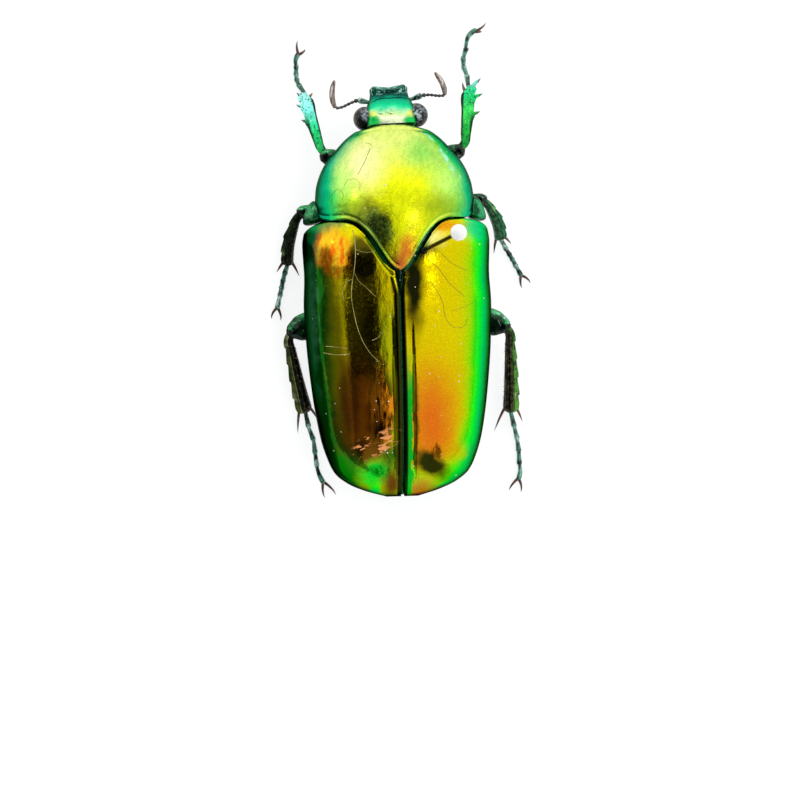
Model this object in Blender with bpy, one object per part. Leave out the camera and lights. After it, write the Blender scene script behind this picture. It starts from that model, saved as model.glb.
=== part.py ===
"""A golden-green flower chafer, 31 mm long, as a dried museum specimen on an insect pin.

Sizes are in millimetres and become metres where a mesh is made. +Y is towards the head, +X is the beetle's
right, +Z is up, and the feet stand at z = 0. The wing cases' seam runs along x = 0.
"""

import math
from functools import partial

import bmesh
import bpy
import numpy as np
from mathutils import Matrix, Vector

MM = 0.001
GAP = 0.25  # between nodes that meet
SHELL = 0.7  # thickness of the wing cases and the pronotum
RIM = 0.11  # how far the inner side of their edges lies from the outer

# Outlines seen from above, as (y, half width).
ELYTRA_OUTLINE = [
    (5.4, 6.45), (4.7, 6.92), (3.6, 7.1), (1.3, 7.02), (-1.0, 7.12), (-3.7, 7.02), (-7.3, 6.7),
    (-10.9, 6.15), (-12.7, 5.6), (-13.7, 5.08), (-14.5, 4.1), (-15.1, 2.75), (-15.55, 1.2),
]
PRONOTUM_OUTLINE = [
    (12.5, 2.3), (12.2, 2.8), (11.7, 3.5), (10.8, 4.37), (9.85, 5.15), (8.8, 5.68), (7.8, 5.95),
    (6.8, 6.03), (6.1, 5.95), (5.0, 5.9), (1.0, 5.9),
]
# Edges seen from above, as (distance from the seam, y).
LOBE_EDGE = [
    (0.0, 1.45), (0.3, 1.6), (0.7, 2.0), (1.2, 2.75), (1.8, 3.72), (2.45, 4.53), (3.25, 5.13),
    (4.05, 5.37), (5.0, 5.37), (5.6, 5.5), (6.0, 5.9), (6.4, 6.2),
]
ELYTRA_FRONT = [
    (0.0, 1.45), (0.3, 1.6), (0.7, 2.0), (1.2, 2.75), (1.8, 3.72), (2.45, 4.53), (3.25, 5.13),
    (4.05, 5.35), (5.1, 5.35), (6.3, 5.2), (6.7, 4.95), (6.95, 4.6),
]
PRONOTUM_FRONT = [(0.0, 12.55), (1.3, 12.5), (2.1, 12.35), (2.8, 12.15)]

# Side profiles, as (y, z).
ELYTRA_TOP = [
    (5.4, 10.55), (2.0, 10.75), (-2.0, 10.85), (-6.0, 10.6), (-9.0, 10.05), (-11.5, 9.15),
    (-13.2, 8.1), (-14.4, 7.0), (-15.1, 6.2), (-15.6, 5.7),
]
ELYTRA_MARGIN = [
    (5.4, 6.9), (3.0, 6.5), (0.0, 6.3), (-6.0, 6.0), (-11.0, 5.7), (-14.0, 5.3), (-15.6, 5.0),
]
PRONOTUM_TOP = [
    (12.6, 7.55), (11.8, 8.35), (10.5, 9.3), (9.0, 10.1), (7.0, 10.75), (5.0, 11.0), (3.0, 11.0),
    (1.4, 10.85),
]
PRONOTUM_MARGIN = [(12.6, 5.9), (10.0, 5.9), (8.0, 6.1), (6.0, 6.55), (1.4, 6.6)]
BELLY = [
    (5.2, 3.2), (4.0, 2.5), (2.0, 2.2), (-2.5, 2.2), (-6.0, 2.35), (-9.0, 2.6), (-11.5, 3.1),
    (-13.3, 3.8), (-14.6, 4.7),
]
BREAST = [(12.0, 4.4), (11.0, 3.7), (9.5, 3.3), (7.5, 3.3), (5.7, 3.6)]

# Swellings of the wing cases, as (x, y, radius, height).
SHOULDER_SWELLING = (5.5, 3.7, 0.95, 0.28)
TIP_SWELLING = (3.7, -12.3, 1.25, 0.38)
SEAM_GROOVE_AWAY = 0.75  # from the seam to the groove beside its raised border
SEAM_GROOVE_HALF = 0.28
SEAM_GROOVE_DEPTH = 0.22

SEGMENT_ENDS = [-2.65, -4.6, -6.8, -9.0, -11.1, -13.1]  # y of the abdomen's rings
SEGMENT_GROOVE = 0.1

HEAD_TURN = math.radians(2.5)  # towards the beetle's left
NECK = Vector((-0.02, 12.4, 0.0))
# The head's cross-sections, as (y, half width, top, underside).
HEAD_SECTIONS = [
    (12.12, 1.75, 6.35, 4.6), (12.55, 1.85, 6.45, 4.3), (12.7, 1.95, 7.0, 4.0),
    (13.3, 1.9, 7.25, 3.7), (13.9, 1.82, 7.0, 3.6), (14.3, 1.62, 6.6, 3.7), (14.7, 1.5, 6.15, 3.95),
    (15.15, 1.5, 5.75, 4.3), (15.4, 1.46, 5.6, 4.55), (15.52, 1.3, 5.45, 4.75),
]
CLYPEUS_LOBE = (1.12, 15.33, 5.55)
CLYPEUS_LOBE_RADII = (0.4, 0.3, 0.22)
EYE = (1.97, 13.3, 5.65)
EYE_RADII = (0.88, 0.88, 0.95)

PIN_RADIUS = 0.25
PIN_HEAD_RADIUS = 0.62
PIN_HEAD = Vector((3.77, 3.68, 20.0))
PIN_ENTRY = Vector((1.92, 2.9, 10.95))  # in the right wing case
PIN_TIP_Z = 0.35
PIN_POINT_TOP_Z = 1.9

# A leg in the pose: the centres of its hip and knee, where the tibia starts and ends, the tips of the
# spurs at its end, the ends of the five tarsal segments, and the tips of the two claws.
LEGS = {
    "foreleg_left": dict(
        hip=(-1.55, 9.3, 3.0), knee=(-4.93, 10.58, 3.75),
        shin=(-5.37, 11.33, 3.3), ankle=(-6.27, 15.3, 1.15),
        spurs=[(-5.65, 15.85, 0.75)],
        toes=[
            (-6.75, 16.2, 0.62), (-6.93, 16.85, 0.42), (-6.97, 17.35, 0.36), (-6.93, 17.9, 0.34),
            (-6.7, 18.85, 0.4),
        ],
        claws=[(-6.75, 19.85, 0.22), (-6.2, 19.2, 0.14)],
    ),
    "foreleg_right": dict(
        hip=(1.55, 9.3, 3.0), knee=(5.16, 10.7, 3.75),
        shin=(5.74, 11.4, 3.3), ankle=(6.35, 15.85, 1.15),
        spurs=[(5.85, 16.3, 0.75)],
        toes=[
            (6.27, 16.8, 0.62), (6.05, 17.5, 0.42), (6.05, 18.2, 0.36), (6.32, 18.95, 0.34),
            (7.1, 20.35, 0.4),
        ],
        claws=[(7.9, 20.88, 0.22), (7.55, 20.25, 0.14)],
    ),
    "midleg_left": dict(
        hip=(-1.9, 4.9, 2.75), knee=(-6.9, 6.5, 3.9),
        shin=(-7.4, 5.75, 3.45), ankle=(-8.08, 2.55, 1.1),
        spurs=[(-7.2, 1.6, 0.45), (-8.95, 1.95, 0.5)],
        toes=[
            (-8.35, 1.75, 0.62), (-8.5, 1.2, 0.42), (-8.62, 0.65, 0.36), (-8.75, 0.1, 0.34),
            (-9.0, -0.85, 0.4),
        ],
        claws=[(-9.45, -1.6, 0.14), (-8.75, -1.75, 0.14)],
    ),
    "midleg_right": dict(
        hip=(1.9, 4.9, 2.75), knee=(6.8, 7.05, 3.9),
        shin=(7.42, 6.4, 3.45), ankle=(8.42, 4.05, 1.1),
        spurs=[(7.95, 2.9, 0.45), (9.35, 3.6, 0.5)],
        toes=[
            (8.95, 3.15, 0.62), (9.2, 2.75, 0.42), (9.43, 2.35, 0.36), (9.67, 1.85, 0.34),
            (10.05, 1.1, 0.4),
        ],
        claws=[(10.75, 0.55, 0.14), (10.1, 0.2, 0.14)],
    ),
    "hindleg_left": dict(
        hip=(-2.6, -1.6, 2.8), knee=(-7.85, -2.42, 3.9),
        shin=(-8.22, -3.35, 3.5), ankle=(-7.1, -8.85, 1.3),
        spurs=[(-6.0, -9.75, 0.7), (-7.7, -10.55, 0.5)],
        toes=[
            (-6.85, -10.1, 0.72), (-6.5, -11.1, 0.45), (-6.4, -12.15, 0.38), (-6.3, -13.15, 0.34),
            (-5.8, -14.5, 0.4),
        ],
        claws=[(-5.75, -15.6, 0.14), (-4.9, -15.4, 0.14)],
    ),
    "hindleg_right": dict(
        hip=(2.6, -1.6, 2.8), knee=(8.2, -2.5, 3.9),
        shin=(8.68, -3.4, 3.5), ankle=(8.78, -9.3, 1.3),
        spurs=[(7.55, -10.85, 0.5), (9.75, -10.2, 0.7)],
        toes=[
            (9.1, -10.6, 0.72), (9.32, -11.55, 0.45), (9.42, -12.5, 0.38), (9.44, -13.5, 0.34),
            (9.3, -14.7, 0.4),
        ],
        claws=[(8.6, -15.5, 0.14), (9.5, -15.65, 0.14)],
    ),
}
# What the two legs of a pair share: the hip's radii, half the femur's greatest width, the knee's radius,
# half the tibia's width at its start, middle and end, half its thickness, how far it bows outwards, and
# its outer teeth as (root's share of its length, reach outwards from its axis, reach along it).
LEG_KINDS = {
    "foreleg": dict(
        hip=(1.0, 0.75, 0.95), femur=0.72, knee=0.56, tibia=(0.27, 0.38, 0.48), thick=0.3, bow=0.0,
        teeth=[(0.46, 0.85, 0.45), (0.77, 1.0, 0.45), (0.96, 0.72, 0.62)],
    ),
    "midleg": dict(
        hip=(0.95, 0.85, 0.7), femur=0.78, knee=0.5, tibia=(0.32, 0.41, 0.45), thick=0.34, bow=0.2,
        teeth=[(0.55, 0.62, 0.4)],
    ),
    "hindleg": dict(
        hip=(2.1, 0.95, 0.72), femur=1.02, knee=0.6, tibia=(0.36, 0.46, 0.6), thick=0.38, bow=0.05,
        teeth=[(0.4, 0.66, 0.4), (0.66, 0.72, 0.4)],
    ),
}
ANKLE_GAP = 0.6  # from the tibia's end to the first tarsal segment
TOE_RADIUS = 0.27
CLAW_RADIUS = 0.16
FOOT_BITE = 0.06  # how much of a foot is cut flat

# An antenna's stem, joint by joint, and its club.
ANTENNAE = {
    "left": dict(
        stem=[
            (-1.42, 14.48, 4.75), (-2.45, 14.72, 4.85), (-2.9, 14.55, 4.9), (-3.4, 14.33, 4.9),
            (-3.68, 14.2, 4.85),
        ],
        club=[(-4.2, 14.15, 4.8), (-4.38, 14.8, 4.8), (-4.38, 15.55, 4.8), (-4.2, 16.3, 4.8)],
    ),
    "right": dict(
        stem=[
            (1.42, 14.63, 4.75), (2.45, 14.95, 4.85), (3.0, 14.98, 4.9), (3.45, 14.92, 4.9),
            (3.7, 14.88, 4.85),
        ],
        club=[(4.24, 14.92, 4.8), (4.15, 15.5, 4.8), (3.9, 16.1, 4.8), (3.5, 16.7, 4.8)],
    ),
}
SCAPE_RADII = (0.25, 0.3)
FUNICLE_RADIUS = 0.26

# Each finish as its colour, metallic value and roughness.
FINISHES = {
    "gold_green_cuticle": ((0.62, 0.5, 0.03), 1.0, 0.22),
    "green_cuticle": ((0.03, 0.28, 0.06), 1.0, 0.25),
    "dark_cuticle": ((0.012, 0.06, 0.025), 0.8, 0.3),
    "eye": ((0.02, 0.015, 0.012), 0.0, 0.15),
    "antennal_club": ((0.12, 0.06, 0.04), 0.2, 0.5),
    "pin_enamel": ((0.01, 0.01, 0.01), 0.3, 0.3),
    "pin_head_plastic": ((0.9, 0.88, 0.85), 0.0, 0.3),
}


def smooth(points):
    """A smooth curve through (t, value) points that never overshoots them."""
    ordered = sorted(points)
    t = np.array([p[0] for p in ordered], float)
    v = np.array([p[1] for p in ordered], float)
    steps = np.diff(t)
    slopes = np.diff(v) / steps
    tangents = np.zeros(len(t))
    tangents[0] = slopes[0]
    tangents[-1] = slopes[-1]
    for i in range(1, len(t) - 1):
        if slopes[i - 1] * slopes[i] > 0:
            tangents[i] = 2 * slopes[i - 1] * slopes[i] / (slopes[i - 1] + slopes[i])

    def value(at):
        at = min(max(at, t[0]), t[-1])
        i = min(max(int(np.searchsorted(t, at)) - 1, 0), len(t) - 2)
        h = steps[i]
        u = (at - t[i]) / h
        start = (2 * u**3 - 3 * u**2 + 1) * v[i] + (u**3 - 2 * u**2 + u) * h * tangents[i]
        end = (3 * u**2 - 2 * u**3) * v[i + 1] + (u**3 - u**2) * h * tangents[i + 1]
        return float(start + end)

    return value


elytra_half = smooth(ELYTRA_OUTLINE)
elytra_top = smooth(ELYTRA_TOP)
elytra_margin = smooth(ELYTRA_MARGIN)
elytra_front = smooth(ELYTRA_FRONT)
pronotum_half = smooth(PRONOTUM_OUTLINE)
pronotum_top = smooth(PRONOTUM_TOP)
pronotum_margin = smooth(PRONOTUM_MARGIN)
pronotum_front = smooth(PRONOTUM_FRONT)
lobe_edge = smooth(LOBE_EDGE)
belly = smooth(BELLY)
breast = smooth(BREAST)


def dome(share, power_across, power_up):
    """How high a cross-section stands, 0 to 1, at this share of its half width."""
    return max(0.0, 1 - min(1.0, abs(share)) ** power_across) ** (1 / power_up)


def swelling(x, y, centre_x, centre_y, radius, height):
    return height * math.exp(-((abs(x) - centre_x) ** 2 + (y - centre_y) ** 2) / radius**2)


def elytron_height(x, y, sunk):
    """The top of the wing cases at x, y, or their inner side when sunk."""
    margin = elytra_margin(y)
    back = min(1.0, max(0.0, (5.4 - y) / 3.5))
    rise = elytra_top(y) - sunk - margin
    z = margin + rise * dome(x / (elytra_half(y) - sunk), 2.1 + 0.8 * back, 2.1)
    if sunk:
        return z - RIM
    z += swelling(x, y, *SHOULDER_SWELLING) + swelling(x, y, *TIP_SWELLING)
    away = (abs(x) - SEAM_GROOVE_AWAY) / SEAM_GROOVE_HALF
    return z - SEAM_GROOVE_DEPTH * math.exp(-away * away) * min(1.0, max(0.0, (2.0 - y) / 5.0))


def elytron_point(side, across, along, sunk):
    """A point of a wing case: across from the seam to the margin, along from its front edge to its tip."""
    across = math.sin(0.5 * math.pi * across) ** 0.85
    along = math.sin(0.5 * math.pi * along)
    front = elytra_front(ELYTRA_FRONT[-1][0] * across) - GAP / 2 - (RIM if sunk else 0.0)
    tip = ELYTRA_OUTLINE[-1][0] + 0.5 * sunk
    y = front + (tip - front) * along
    x = GAP / 2 + (elytra_half(y) - sunk - GAP / 2) * across
    return side * x, y, elytron_height(x, y, sunk)


def pronotum_point(across, along, sunk):
    """A point of the pronotum: across from its left margin to its right, along from its front edge back."""
    across = math.sin(math.pi * (across - 0.5))
    along = 0.5 - 0.5 * math.cos(math.pi * along)
    rim = RIM if sunk else 0.0
    front = pronotum_front(PRONOTUM_FRONT[-1][0] * abs(across)) - 2 * rim
    hind = lobe_edge(5.95 * abs(across)) + GAP / 2 + rim
    y = front + (hind - front) * along
    x = (pronotum_half(y) - sunk) * across
    margin = pronotum_margin(y) - rim
    return x, y, margin + (pronotum_top(y) - sunk - margin) * dome(across, 2.15, 2.0)


def between(a, b, share):
    return Vector(a) + (Vector(b) - Vector(a)) * share


def body_ring(y, half, top, middle, bottom, count=26, boxy=2.4):
    """One section of the body: a boxy dome above the middle height and a rounder one below it."""
    ring = []
    for k in range(count):
        turn = 2 * math.pi * k / count
        c, s = math.cos(turn), math.sin(turn)
        power = 2 / (boxy if s > 0 else min(boxy, 2.1))
        reach = top - middle if s > 0 else middle - bottom
        x = half * math.copysign(abs(c) ** power, c)
        ring.append((x, y, middle + reach * math.copysign(abs(s) ** power, s)))
    return ring


def trunk_ring(y, sunk=0.0):
    """A section of the body under the wing cases, a gap inside them."""
    clear = SHELL + GAP + 0.4 * min(1.0, max(0.0, (-12.0 - y) / 2.0))
    top = elytra_top(y) - clear - 0.25
    middle = elytra_margin(y) - 0.2
    return body_ring(y, elytra_half(y) - clear - sunk, top, middle, belly(y) + sunk)


def limb_rings(path, wide, thick, flat, count=10):
    """Oval sections along a path: half widths along the flat direction, half thicknesses across it."""
    points = [Vector(p) for p in path]
    rings = []
    for i, p in enumerate(points):
        along = (points[min(i + 1, len(points) - 1)] - points[max(i - 1, 0)]).normalized()
        side = (Vector(flat) - along * along.dot(Vector(flat))).normalized()
        over = along.cross(side)
        ring = []
        for k in range(count):
            turn = 2 * math.pi * k / count
            ring.append(p + side * wide[i] * math.cos(turn) + over * thick[i] * math.sin(turn))
        rings.append(ring)
    return rings


class Specimen:
    """Makes the nodes in one collection."""

    def __init__(self, name):
        self.home = bpy.data.collections.new(name)
        bpy.context.scene.collection.children.link(self.home)
        self.finishes = {}
        for finish, (color, metallic, roughness) in FINISHES.items():
            made = bpy.data.materials.new(finish)
            made.use_nodes = True
            shader = made.node_tree.nodes["Principled BSDF"]
            shader.inputs["Base Color"].default_value = (*color, 1.0)
            shader.inputs["Metallic"].default_value = metallic
            shader.inputs["Roughness"].default_value = roughness
            self.finishes[finish] = made

    def keep(self, name, made, finish="dark_cuticle"):
        """Turns a bmesh in millimetres into an object of the model."""
        bmesh.ops.scale(made, vec=(MM, MM, MM), verts=made.verts)
        mesh = bpy.data.meshes.new(name)
        made.to_mesh(mesh)
        made.free()
        mesh.shade_smooth()
        mesh.set_sharp_from_angle(angle=math.radians(40))
        mesh.materials.append(self.finishes[finish])
        obj = bpy.data.objects.new(name, mesh)
        self.home.objects.link(obj)
        return obj

    def shell(self, name, columns, rows, point, finish):
        """A curved plate between two sheets of points point(across, along, sunk), closed at its edges."""
        made = bmesh.new()
        for sunk in (0.0, SHELL):
            sheet = bmesh.ops.create_grid(made, x_segments=columns, y_segments=rows, size=0.5)
            for vert in sheet["verts"]:
                vert.co = point(vert.co.x + 0.5, vert.co.y + 0.5, sunk)
        bmesh.ops.triangulate(made, faces=made.faces)
        bmesh.ops.bridge_loops(made, edges=[edge for edge in made.edges if edge.is_boundary])
        bmesh.ops.recalc_face_normals(made, faces=made.faces)
        return self.keep(name, made, finish)

    def loft(self, name, rings, finish="dark_cuticle"):
        """A closed form through rings of equally many points."""
        made = bmesh.new()
        loops = [[made.verts.new(p) for p in ring] for ring in rings]
        for one, other in zip(loops, loops[1:]):
            for k in range(len(one)):
                after = (k + 1) % len(one)
                made.faces.new((one[k], one[after], other[after]))
                made.faces.new((one[k], other[after], other[k]))
        for loop in (loops[0], loops[-1]):
            middle = made.verts.new(sum((v.co for v in loop), Vector()) / len(loop))
            for k in range(len(loop)):
                made.faces.new((loop[k], loop[(k + 1) % len(loop)], middle))
        bmesh.ops.recalc_face_normals(made, faces=made.faces)
        return self.keep(name, made, finish)

    def limb(self, name, path, wide, thick, flat=(0, 0, 1), count=8, finish="dark_cuticle"):
        return self.loft(name, limb_rings(path, wide, thick, flat, count), finish)

    def ball(self, name, centre, radii, segments=12, rings=8, finish="dark_cuticle"):
        made = bmesh.new()
        place = Matrix.Translation(centre) @ Matrix.Diagonal((*radii, 1.0))
        bmesh.ops.create_uvsphere(made, u_segments=segments, v_segments=rings, radius=1.0, matrix=place)
        return self.keep(name, made, finish)

    def spine(self, name, root, tip, radius):
        """A tapering spine."""
        root, tip = Vector(root), Vector(tip)
        sizes = [radius, radius * 0.75, radius * 0.16]
        return self.limb(name, [root, between(root, tip, 0.55), tip], sizes, sizes, (0.1, 0, 1), 6)

    def combine(self, obj, operation, pieces):
        """Joins the pieces to obj, or cuts them from it, and removes them."""
        group = bpy.data.collections.new("pieces")
        bpy.context.scene.collection.children.link(group)
        for piece in pieces:
            self.home.objects.unlink(piece)
            group.objects.link(piece)
        modifier = obj.modifiers.new("pieces", "BOOLEAN")
        modifier.operation = operation
        modifier.operand_type = "COLLECTION"
        modifier.collection = group
        modifier.solver = "MANIFOLD"
        graph = bpy.context.evaluated_depsgraph_get()
        before = obj.data
        obj.data = bpy.data.meshes.new_from_object(obj.evaluated_get(graph))
        obj.modifiers.remove(modifier)
        bpy.data.meshes.remove(before)
        for piece in pieces:
            bpy.data.objects.remove(piece)
        bpy.data.collections.remove(group)
        keep_largest(obj.data)

    def join(self, obj, pieces):
        self.combine(obj, "UNION", pieces)

    def cut(self, obj, pieces):
        self.combine(obj, "DIFFERENCE", pieces)


def keep_largest(mesh):
    """Keeps the closed surface that reaches farthest."""
    made = bmesh.new()
    made.from_mesh(mesh)
    bmesh.ops.remove_doubles(made, verts=made.verts, dist=1e-7)
    left = set(made.verts)
    surfaces = []
    while left:
        stack = [left.pop()]
        surface = set(stack)
        while stack:
            near = {v for edge in stack.pop().link_edges for v in edge.verts} & left
            left -= near
            surface |= near
            stack += near
        surfaces.append(surface)

    def reach(surface):
        points = np.array([v.co for v in surface])
        return np.linalg.norm(points.max(axis=0) - points.min(axis=0))

    surfaces.sort(key=reach)
    for surface in surfaces[:-1]:
        bmesh.ops.delete(made, geom=list(surface), context="VERTS")
    made.to_mesh(mesh)
    made.free()


def turn_head(obj):
    """Turns a piece of the straight head about the neck."""
    neck = Matrix.Translation(NECK * MM)
    obj.data.transform(neck @ Matrix.Rotation(HEAD_TURN, 4, "Z") @ neck.inverted())
    return obj


def make_wing_cases(make):
    for side, name in ((-1, "elytron_left"), (1, "elytron_right")):
        make.shell(name, 11, 22, partial(elytron_point, side), "gold_green_cuticle")


def make_pronotum(make):
    make.shell("pronotum", 22, 16, pronotum_point, "gold_green_cuticle")


def make_trunk(make):
    """Hind thorax with its forward process, abdomen and last segment."""
    thorax = make.loft("thorax", [trunk_ring(y) for y in (4.95, 4.0, 3.0, 1.5, 0.0, -1.2, -2.4)])
    process = make.limb(
        "process", [(0, 3.5, 3.2), (0, 5.2, 2.7), (0, 7.0, 2.45), (0, 8.2, 2.55), (0, 8.6, 2.7)],
        [1.0, 0.85, 0.7, 0.5, 0.15], [0.8, 0.5, 0.38, 0.3, 0.12], (1, 0, 0), 12,
    )
    make.join(thorax, [process])
    rings = []
    for front, back in zip(SEGMENT_ENDS, SEGMENT_ENDS[1:]):
        rings += [trunk_ring(front - 0.04, SEGMENT_GROOVE), trunk_ring(front - 0.3), trunk_ring(back + 0.12)]
    rings.append(trunk_ring(SEGMENT_ENDS[-1], SEGMENT_GROOVE))
    abdomen = make.loft("abdomen", rings)
    rings = [trunk_ring(y) for y in (SEGMENT_ENDS[-1] - GAP, -13.9, -14.4)]
    rings.append(body_ring(-14.75, 2.6, 5.0, 4.75, 4.35))
    make.loft("pygidium", rings, "green_cuticle")
    return thorax, abdomen


def make_prosternum(make):
    """The prothorax's underside, which fills the pronotum."""
    rings = []
    for y in (11.6, 11.0, 10.0, 8.8, 7.6, 6.5, 5.4):
        clear = SHELL + GAP + 0.05
        top = pronotum_top(y) - clear - 0.1
        middle = pronotum_margin(y) - 0.35
        rings.append(body_ring(y, pronotum_half(y) - clear, top, middle, breast(y), boxy=2.2))
    prosternum = make.loft("prosternum", rings)
    tunnel = make.limb("tunnel", [(0, 4.0, 2.75), (0, 9.1, 2.75)], [1.15] * 2, [0.85] * 2, (1, 0, 0), 12)
    make.cut(prosternum, [tunnel])
    return prosternum


def make_shoulder_plates(make):
    """The small plates between the pronotum's hind corners and the wing cases."""
    corners = [(6.25, 7.25), (6.62, 6.4), (6.9, 5.62), (6.72, 5.4), (6.1, 5.45), (6.25, 6.0)]
    levels = ((5.0, 0.9), (6.0, 1.0), (6.7, 1.0), (7.1, 0.75))
    middle = Vector(tuple(np.mean(np.array(corners), axis=0)) + (0.0,))
    for side, name in ((-1, "mesepimeron_left"), (1, "mesepimeron_right")):
        rings = []
        for level, size in levels:
            ring = [between(middle, (x, y, 0.0), size) for x, y in corners]
            rings.append([(side * p.x, p.y, level - 0.25 * (p.x - middle.x)) for p in ring])
        make.loft(name, rings, "green_cuticle")


def make_scape(make, side, grow=0.0):
    """The first antennal joint, or with grow the socket that clears it."""
    start, end = (Vector(p) for p in ANTENNAE[side]["stem"][:2])
    spare = (end - start).normalized() * grow
    radii = [radius + grow for radius in SCAPE_RADII]
    return make.limb(f"antenna_{side}" if not grow else "socket", [start - spare, end + spare], radii, radii)


def make_head(make):
    rings = []
    for y, half, top, underside in HEAD_SECTIONS:
        rings.append(body_ring(y, half, top, 0.5 * (top + underside) + 0.2, underside, 24, 2.6))
    head = turn_head(make.loft("head", rings, "green_cuticle"))
    x, y, z = CLYPEUS_LOBE
    make.join(head, [turn_head(make.ball("lobe", (side * x, y, z), CLYPEUS_LOBE_RADII)) for side in (-1, 1)])
    sockets = [make_scape(make, side, GAP) for side in ANTENNAE]
    x, y, z = EYE
    for side, name in ((-1, "eye_left"), (1, "eye_right")):
        turn_head(make.ball(name, (side * x, y, z), EYE_RADII, 16, 10, "eye"))
        wider = [radius + GAP for radius in EYE_RADII]
        sockets.append(turn_head(make.ball("socket", (side * x, y, z), wider, 14, 10)))
    make.cut(head, sockets)


def make_mouthparts(make):
    """The chin plate and the two palps under the head."""
    chin = turn_head(make.limb(
        "mouthparts", [(0, 12.6, 3.5), (0, 13.4, 3.15), (0, 14.3, 3.15), (0, 14.9, 3.5)],
        [0.7, 1.0, 1.05, 0.8], [0.2, 0.28, 0.28, 0.2], (1, 0, 0), 12,
    ))
    palps = []
    for side in (-1, 1):
        path = [(0.6, 13.9, 3.15), (1.0, 14.5, 3.1), (1.1, 15.0, 3.2), (0.95, 15.4, 3.4)]
        path = [(side * x, y, z) for x, y, z in path]
        sizes = [0.27, 0.27, 0.27, 0.12]
        palps.append(turn_head(make.limb("palp", path, sizes, sizes)))
    make.join(chin, palps)


def make_antennae(make):
    for side, antenna in ANTENNAE.items():
        stem = antenna["stem"]
        scape = make_scape(make, side)
        beads = [make.ball("bead", stem[1], (0.34, 0.34, 0.32), 10, 8)]
        for a, b in zip(stem[1:], stem[2:]):
            sizes = [FUNICLE_RADIUS * 0.85, FUNICLE_RADIUS, FUNICLE_RADIUS * 0.75]
            path = [between(a, b, -0.25), between(a, b, 0.6), b]
            beads.append(make.limb("bead", path, sizes, sizes))
        make.join(scape, beads)
        make.limb(
            f"antennal_club_{side}", antenna["club"], [0.24, 0.3, 0.28, 0.1], [0.22, 0.26, 0.25, 0.1],
            (1, 0, 0), 10, "antennal_club",
        )


def make_femur(make, name, leg, kind, trunk):
    """The hip, the femur, and room for both in the trunk."""
    hip, knee = Vector(leg["hip"]), Vector(leg["knee"])
    make.ball(f"{name}_coxa", hip, kind["hip"])
    along = (knee - hip).normalized()
    start = hip + along * (kind["hip"][0] + GAP + 0.05)
    end = knee + along * kind["knee"] * 0.75
    path = [between(start, end, share) for share in (0, 0.1, 0.35, 0.62, 0.82, 0.94, 1.0)]
    half, knob = kind["femur"], kind["knee"]
    wide = [0.35 * half, 0.65 * half, half, 0.97 * half, 0.5 * half + 0.5 * knob, knob * 0.85, knob * 0.4]
    thick = [0.28, 0.42, 0.55, 0.52, 0.5, knob * 0.75, knob * 0.35]
    make.limb(f"{name}_femur", path, wide, thick, (0, 1, 0), 12)
    path[0] = path[0] - along * GAP
    room = [
        make.ball("room", hip, [radius + GAP for radius in kind["hip"]]),
        make.limb("room", path, [w + GAP for w in wide], [t + GAP for t in thick], (0, 1, 0), 12),
    ]
    for piece in trunk:
        copies = []
        for obj in room:
            copy = obj.copy()
            copy.data = obj.data.copy()
            make.home.objects.link(copy)
            copies.append(copy)
        make.cut(piece, copies)
    for obj in room:
        bpy.data.objects.remove(obj)


def make_tibia(make, name, leg, kind):
    """The tibia with its outer teeth and end spurs."""
    start, end = Vector(leg["shin"]), Vector(leg["ankle"])
    along = (end - start).normalized()
    outward = Vector((math.copysign(1.0, start.x), 0, 0.2))
    outward = (outward - along * along.dot(outward)).normalized()

    def at(share):
        return between(start, end, share) + outward * kind["bow"] * math.sin(math.pi * share)

    first, middle, last = kind["tibia"]
    path = [at(share) for share in (0, 0.12, 0.4, 0.7, 0.92, 1.0)]
    wide = [first * 0.85, first * 1.1, middle, 0.5 * (middle + last), last, last * 0.8]
    thick = [0.25, 0.28, 0.3, kind["thick"], kind["thick"], kind["thick"] * 0.8]
    tibia = make.limb(f"{name}_tibia", path, wide, thick, outward, 10, "green_cuticle")
    spines = []
    for share, out, on in kind["teeth"]:
        root = at(share) + outward * middle * 0.5
        spines.append(make.spine("tooth", root, at(share) + outward * out + along * on, 0.26))
    for tip in leg["spurs"]:
        aside = math.copysign(last * 0.55, (Vector(tip) - end).dot(outward))
        spines.append(make.spine("spur", at(0.94) + outward * aside, tip, 0.25))
    make.join(tibia, spines)


def make_foot(make, name, leg):
    """Five flared segments and two claws, cut flat where they stand."""
    ankle = Vector(leg["ankle"])
    toes = [Vector(p) for p in leg["toes"]]
    ends = [ankle + (toes[0] - ankle).normalized() * ANKLE_GAP] + toes
    pieces = []
    for i, (a, b) in enumerate(zip(ends, ends[1:])):
        path = [between(a, b, share) for share in (-0.3 if i else 0.0, 0.35, 0.8, 1.06)]
        sizes = [TOE_RADIUS * share for share in (0.6, 0.78, 1.0, 0.7)]
        pieces.append(make.limb(f"{name}_tarsus", path, sizes, sizes, count=7))
    root = between(ends[-1], ends[-2], 0.12)
    for claw in leg["claws"]:
        middle = between(root, claw, 0.5) + Vector((0, 0, 0.1))
        sizes = [CLAW_RADIUS, CLAW_RADIUS * 0.8, CLAW_RADIUS * 0.3]
        pieces.append(make.limb("claw", [root, middle, claw], sizes, sizes, count=6))
    foot = pieces[0]
    make.join(foot, pieces[1:])
    low = Vector((min(p.x for p in ends), min(p.y for p in ends), 0)) - Vector((3, 3, 1))
    high = Vector((max(p.x for p in ends), max(p.y for p in ends), FOOT_BITE)) + Vector((3, 3, 0))
    floor = bmesh.new()
    place = Matrix.Translation((low + high) / 2) @ Matrix.Diagonal((*(high - low), 1.0))
    bmesh.ops.create_cube(floor, size=1.0, matrix=place)
    make.cut(foot, [make.keep("floor", floor)])


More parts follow.
